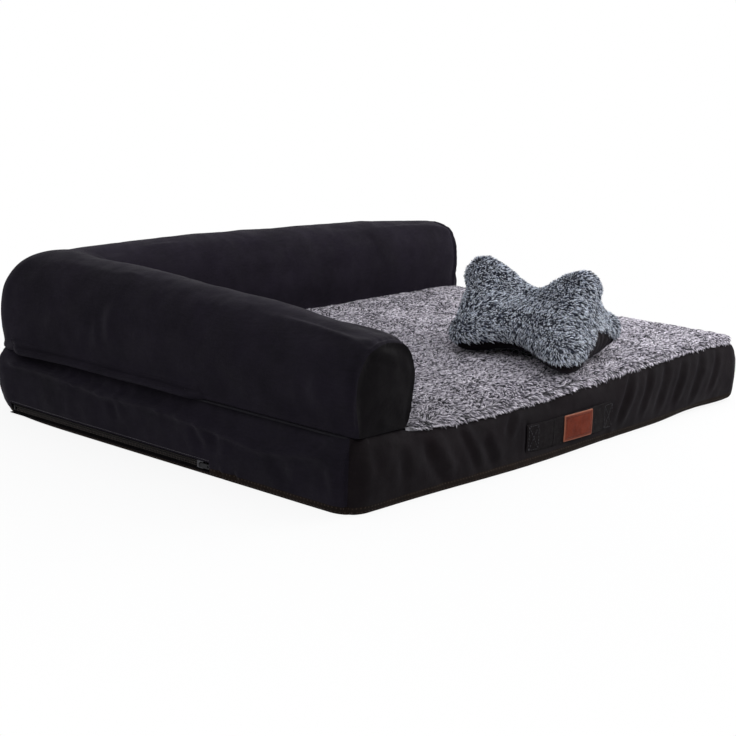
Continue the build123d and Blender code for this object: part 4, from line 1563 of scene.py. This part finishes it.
def closed_strip(name, front, back, material, turn=1):
    """A strip of cloth from rows of points on its front and its back."""
    ringed = np.concatenate([np.array(front), np.array(back)[:, ::-1]], axis=1)
    n, m = ringed.shape[:2]
    faces = strip_faces(n, m, wrap=True)
    faces += [tuple(range(m)), tuple((n - 1) * m + i for i in range(m))[::-1]]
    return build(name, ringed.reshape(-1, 3), [f[::turn] for f in faces], material)


def strap_piece(name, x0, x1):
    """A closed stretch of webbing between two places along the front."""
    n = max(2, int(round((x1 - x0) / (2 * MM))) + 1)
    across = 15
    zs = np.linspace(left_low[2], left_high[2], across)
    edge = np.abs(np.linspace(-1, 1, across))
    roundness = np.where(edge > 0.97, 0.5 * MM, 0)
    outer, inner = [], []
    for x in np.linspace(x0, x1, n):
        y = -half_depth - STRAP_GAP - strap_line(x) - STRAP_SWELL * (1 - edge**2) * 0.5
        slant = 0.8 * MM * math.sin(x / (40 * MM))
        outer.append(np.column_stack([np.full(across, x), y - STRAP_THICK + roundness, zs + slant]))
        inner.append(np.column_stack([np.full(across, x), y - roundness, zs + slant]))
    return closed_strip(name, outer, inner, strap_webbing, turn=-1)


left_strap = strap_piece("handle_strap_left", left_low[0], grip_low[0])
grip = strap_piece("handle_strap_grip", grip_low[0], grip_high[0])
right_strap = strap_piece("handle_strap_right", grip_high[0], right_high[0])
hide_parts("handle_end_left", "handle_leg_left")
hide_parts("handle_end_right", "handle_leg_right")
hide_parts("handle_grip")
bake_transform(left_strap)
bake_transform(right_strap)
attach(grip, "handle")


PATCH_THICK, PATCH_PRESS, RIM_IN = 1.5 * MM, 0.45 * MM, 3.4 * MM
patch_mid, patch_half = (patch_low + patch_high) / 2, (patch_high - patch_low) / 2


def leather_patch():
    """The patch: rounded corners, a soft edge, and a groove where it is sewn."""
    nx, nz = 45, 27
    u, v = np.meshgrid(np.linspace(-1, 1, nx), np.linspace(-1, 1, nz))
    u, v = u.ravel(), v.ravel()
    wide, tall = 0.05, 0.05 * 1.8
    cu = np.clip(np.abs(u) - (1 - wide), 0, 1) / wide
    cv = np.clip(np.abs(v) - (1 - tall), 0, 1) / tall
    at_corner = cu * cv > 0
    ru = np.sign(u) * ((1 - wide) + wide * cu * np.sqrt(1 - np.where(at_corner, cv, 0) ** 2 / 2))
    rv = np.sign(v) * ((1 - tall) + tall * cv * np.sqrt(1 - np.where(at_corner, cu, 0) ** 2 / 2))
    ru, rv = np.where(cu > 0, ru, u), np.where(cv > 0, rv, v)
    x = patch_mid[0] + ru * patch_half[0]
    z = patch_mid[2] + rv * patch_half[2]
    lift = strap_line(x) + STRAP_GAP + STRAP_THICK + STRAP_SWELL * 0.5 * (1 - rv**2)
    rim = np.minimum((1 - np.abs(u)) * patch_half[0], (1 - np.abs(v)) * patch_half[2])
    round_edge = 0.7 * MM * np.exp(-rim / (0.8 * MM))
    press = PATCH_PRESS * bell(rim - RIM_IN, 1.1 * MM)
    top = np.column_stack([x, -half_depth - lift - PATCH_THICK + round_edge + press, z])
    bottom = np.column_stack([x, -half_depth - lift, z])
    faces = strip_faces(nz, nx)
    faces += [tuple(i + nx * nz for i in f)[::-1] for f in faces]
    border = [*range(nx), *(r * nx + nx - 1 for r in range(1, nz)),
              *(nz * nx - 1 - i for i in range(1, nx)), *(r * nx for r in range(nz - 2, 0, -1))]
    for a, b in zip(border, border[1:] + border[:1]):
        faces.append((b, a, a + nx * nz, b + nx * nz))
    obj = build("leather_patch", np.concatenate([top, bottom]), faces, patch_leather)
    layer = obj.data.attributes.new("rim", "FLOAT", "POINT")
    shade = 0.35 + 0.65 * np.exp(-rim / (1.5 * MM)) - 0.35 * bell(rim - 3.6 * MM, 0.9 * MM)
    layer.data.foreach_set("value", np.concatenate([shade, np.ones(len(shade))]).astype(np.float32))
    return obj


patch = leather_patch()
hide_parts("handle_patch")
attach(patch, "handle")

# A stitch's rings from end to end: the share of its length, of its thickness, and its rise
STITCH_RINGS = ((0, 0.25, -0.6), (0.2, 0.9, 0.3), (0.5, 1.0, 0.6), (0.8, 0.9, 0.3), (1, 0.25, -0.6))
STITCH_SIDES = 6


def stitches(name, lines, body_name, material, size=(3.6 * MM, 0.45 * MM), pitch=4.6 * MM):
    """Short threads along lines of points, each line with its outward direction."""
    pts, faces = [], []
    for line, out in lines:
        line = np.array(line, float)
        out = np.array(out, float)
        gone = np.concatenate([[0], np.cumsum(np.linalg.norm(np.diff(line, axis=0), axis=1))])
        for at in np.arange(pitch / 2, gone[-1], pitch):
            ends = [np.array([np.interp(t, gone, line[:, k]) for k in range(3)])
                    for t in (max(0, at - size[0] / 2), min(gone[-1], at + size[0] / 2))]
            way = ends[1] - ends[0]
            if np.linalg.norm(way) < 1e-6:
                continue
            way /= np.linalg.norm(way)
            side = np.cross(out, way)
            start = len(pts)
            for share, thick, rise in STITCH_RINGS:
                centre = ends[0] * (1 - share) + ends[1] * share + out * rise * size[1]
                for a in np.linspace(0, 2 * math.pi, STITCH_SIDES + 1)[:-1]:
                    pts.append(centre + size[1] * thick * (side * math.cos(a) + out * math.sin(a)))
            faces += strip_faces(len(STITCH_RINGS), STITCH_SIDES, wrap=True, start=start)
            first_ring = tuple(start + i for i in range(STITCH_SIDES))
            last_ring = tuple(i + (len(STITCH_RINGS) - 1) * STITCH_SIDES for i in first_ring)
            faces += [first_ring[::-1], last_ring]
    obj = build(name, np.array(pts), faces, material)
    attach(obj, body_name)
    return obj


def on_strap(x, z):
    """A point on the webbing's face."""
    edge = abs(2 * (z - left_low[2]) / (left_high[2] - left_low[2]) - 1)
    return (x, -half_depth - STRAP_GAP - strap_line(x) - 0.6 * MM * (1 - edge**2) - STRAP_THICK, z)


def on_patch(x, z):
    """A point in the patch's sewn groove."""
    v = (z - patch_mid[2]) / patch_half[2]
    lift = strap_line(x) + STRAP_GAP + STRAP_THICK + 0.6 * MM * (1 - v * v) + PATCH_THICK - PATCH_PRESS
    return (x, -half_depth - lift, z)


def sewn_box(place, x0, x1, z0, z1, crossed=False):
    """Lines of stitching round a box on the front, and across it from corner to corner."""
    corners = [(x0, z0), (x1, z0), (x1, z1), (x0, z1)]
    ends = list(zip(corners, corners[1:] + corners[:1]))
    if crossed:
        ends += [((x0, z0), (x1, z1)), ((x0, z1), (x1, z0))]
    return [
        ([place(xa + (xb - xa) * t, za + (zb - za) * t) for t in np.linspace(0, 1, 9)], (0, -1, 0))
        for (xa, za), (xb, zb) in ends
    ]


SEW_IN = 3 * MM
boxes = [
    line for a, b in ((left_low[0], left_high[0]), (right_low[0], right_high[0]))
    for line in sewn_box(on_strap, a + SEW_IN, b - 1 * MM, left_low[2] + SEW_IN, left_high[2] - SEW_IN, True)
]
strap_stitches = stitches("strap_stitches", boxes, "bed", black_thread)
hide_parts("handle_stitches")
patch_lines = sewn_box(
    on_patch, patch_mid[0] - patch_half[0] + RIM_IN, patch_mid[0] + patch_half[0] - RIM_IN,
    patch_mid[2] - patch_half[2] + RIM_IN, patch_mid[2] + patch_half[2] - RIM_IN,
)
patch_sewing = stitches("patch_sewing", patch_lines, "handle", brown_thread,
                        size=(2.4 * MM, 0.3 * MM), pitch=3.2 * MM)
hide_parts("patch_stitches")


# The cloth flap over the arm's zip

flap_low, flap_high = span("arm_zip_flap")
FLAP_TAB, FLAP_END, FLAP_CUT, FLAP_THICK = 20 * MM, 8 * MM, 28 * MM, 1.2 * MM
FLAP_TOP, FLAP_FOOT = arm_bay_high[2] + 3.5 * MM, seam_z - 1 * MM
FLAP_ROLL, FLAP_PUFF, FLAP_CREST = 9.5 * MM, 11.0, 12 * MM


def corner_swelling(y):
    """How far the arm's outer face stands out near the back left corner."""
    return (CORNER_SWELL + 5 * MM) * math.exp(-(((y - half_depth) / CORNER_REACH) ** 2))


def zip_flap():
    """A soft welt: cloth turned over the zip, full in the middle and sunk into the arm at its ends."""
    n, m = 201, 14
    ys = np.linspace(flap_low[1] - FLAP_TAB, flap_high[1] + FLAP_END, n)
    front_side, back_side = [], []
    for y in ys:
        from_near, from_far = y - ys[0], ys[-1] - y
        end = smooth(from_near / (34 * MM)) * smooth(from_far / (26 * MM))
        wave = noise(np.array([[y, 0.0, 0.0]]), 0.045, 7)[0]
        ripple = noise(np.array([[y, 0.3, 0.0]]), 0.012, 9)[0]
        roll_low = FLAP_FOOT + (0.9 * wave + 2.5 * (1 - end)) * MM
        crest = FLAP_TOP - FLAP_CREST * (1 - smooth(from_near / (19 * MM)))
        crest = max(crest, roll_low + FLAP_CREST * end + 3 * MM)
        roll_high = min(roll_low + FLAP_ROLL, crest - 2 * MM)
        zs = np.concatenate([np.linspace(crest, roll_high, 4)[:-1], np.linspace(roll_high, roll_low, m - 3)])
        hang = np.clip((roll_high - zs) / (roll_high - roll_low), 0, 1)
        skin = -half_length + foot_draw * np.clip(1 - (zs - seam_z) / belly, 0, 1)
        fade = smooth((crest - zs) / (5 * MM)) * smooth(from_near / (12 * MM)) * smooth(from_far / (12 * MM))
        roll = (FLAP_PUFF + 1.2 * wave) * end * np.sin(math.pi * np.clip(hang * 0.95, 0, 1)) ** 0.6
        puff = (-3.0 + 3.4 * fade - 1.0 * bell(zs - roll_high, 1.6 * MM) + roll) * MM
        x = skin - puff - 0.5 * MM * ripple * np.sin(math.pi * hang) - corner_swelling(y)
        front_side.append(np.column_stack([x - FLAP_THICK / 2, np.full(m, y), zs]))
        back_side.append(np.column_stack([x + FLAP_THICK / 2, np.full(m, y), zs]))
    return closed_strip("zip_flap", front_side, back_side, arm_cloth)


flap = zip_flap()
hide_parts("arm_zip_flap")
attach(flap, "bed")


def on_slab(y, z):
    """A point on the left wall of the slab."""
    column = int(np.argmin(np.hypot(ring[:, 0] + half_length, ring[:, 1] - y)))
    return fold_wall(wall(np.array([z]), [column]))[0]


HEM_BACK, HEM_GAP, HEM_POINTS = 0.30, 2.6 * MM, 90
hem_line = [
    on_slab(y, base_bay_high[2] + HEM_GAP) + (-0.1 * MM, 0, 0)
    for y in np.linspace(HEM_BACK, base_bay_low[1] - 2 * MM, HEM_POINTS)
]
stitches("hem_stitches", [(hem_line, (-1, 0, 0))], "bed", pale_thread,
         size=(3.4 * MM, 0.38 * MM), pitch=3.9 * MM)


# The floor, the light and the camera

def show_white(tree, plain, white, share=None):
    """Shows white where the camera, a reflection or a see-through part meets the ground, and lights the
    object by the plain ground."""
    rays = tree.node("ShaderNodeLightPath").outputs
    shown = rays["Is Camera Ray"]
    for name in ("Is Glossy Ray", "Is Transmission Ray"):
        shown = tree.math("MAXIMUM", shown, rays[name])
    if share is not None:
        shown = tree.times(shown, share)
    mixed = tree.node("ShaderNodeMixShader", i0=shown, i1=plain.outputs[0], i2=white.outputs[0])
    tree.set(tree.out, "i0", mixed.outputs[0])


def floor_material():
    """Pale ground that takes the object's shadow, and whitens away from the object."""
    material = bpy.data.materials.new("pale_floor")
    t = Tree(material, "ShaderNodeOutputMaterial")
    place = t.node("ShaderNodeTexCoord").outputs["Object"]
    away = t.node("ShaderNodeVectorMath", {"operation": "LENGTH"}, i0=place).outputs["Value"]
    whiter = t.node("ShaderNodeMapRange", Value=away, From_Min=0.35, From_Max=1.15, To_Min=0.86, To_Max=1.0)
    show_white(
        t, t.node("ShaderNodeBsdfDiffuse", Color=(0.8, 0.8, 0.8, 1)),
        t.node("ShaderNodeEmission", Color=(1, 1, 1, 1)), whiter.outputs[0],
    )
    return material


FLOOR_REACH, FLOOR_Z = 8, -0.0006
floor_corners = [(x * FLOOR_REACH, y * FLOOR_REACH, FLOOR_Z) for x, y in ((-1, -1), (1, -1), (1, 1), (-1, 1))]
floor = build("floor", floor_corners, [(0, 1, 2, 3)], floor_material(), soft=False)

world = bpy.data.worlds.new("studio")
bpy.context.scene.world = world
t = Tree(world, "ShaderNodeOutputWorld")
show_white(
    t, t.node("ShaderNodeBackground", Color=(0.97, 0.98, 1.0, 1), Strength=0.6),
    t.node("ShaderNodeBackground", Color=(1, 1, 1, 1), Strength=1.0),
)


def lamp(name, place, target, size, power, colour=(1, 1, 1)):
    """A square lamp turned to its target."""
    data = bpy.data.lights.new(name, "AREA")
    data.size = size
    data.energy = power
    data.color = colour
    obj = bpy.data.objects.new(name, data)
    obj.location = place
    obj.rotation_euler = (Vector(target) - Vector(place)).to_track_quat("-Z", "Y").to_euler()
    bpy.context.scene.collection.objects.link(obj)


lamp("key", place=(1.25, -0.9, 1.05), target=(0.1, 0, 0.1), size=1.1, power=19)
lamp("fill", place=(-1.9, -1.2, 2.0), target=(-0.2, 0, 0.1), size=1.8, power=24, colour=(0.95, 0.96, 1.0))
lamp("top", place=(0.7, 0.0, 2.4), target=(0.2, 0.1, 0.1), size=1.6, power=11.5)

SENSOR = 36
camera_data = bpy.data.cameras.new("camera")
camera = bpy.data.objects.new("camera", camera_data)
bpy.context.scene.collection.objects.link(camera)
camera_data.sensor_width = SENSOR
camera_data.lens = FOCAL / PHOTO * SENSOR
camera_data.shift_x = -SHIFT_RIGHT / PHOTO
camera_data.shift_y = SHIFT_DOWN / PHOTO
turned = np.column_stack([cam_right, cam_up, cam_back, cam_place])
camera.matrix_world = Matrix([*turned.tolist(), [0, 0, 0, 1]])
bpy.context.scene.camera = camera
bpy.context.scene.view_settings.view_transform = "Standard"
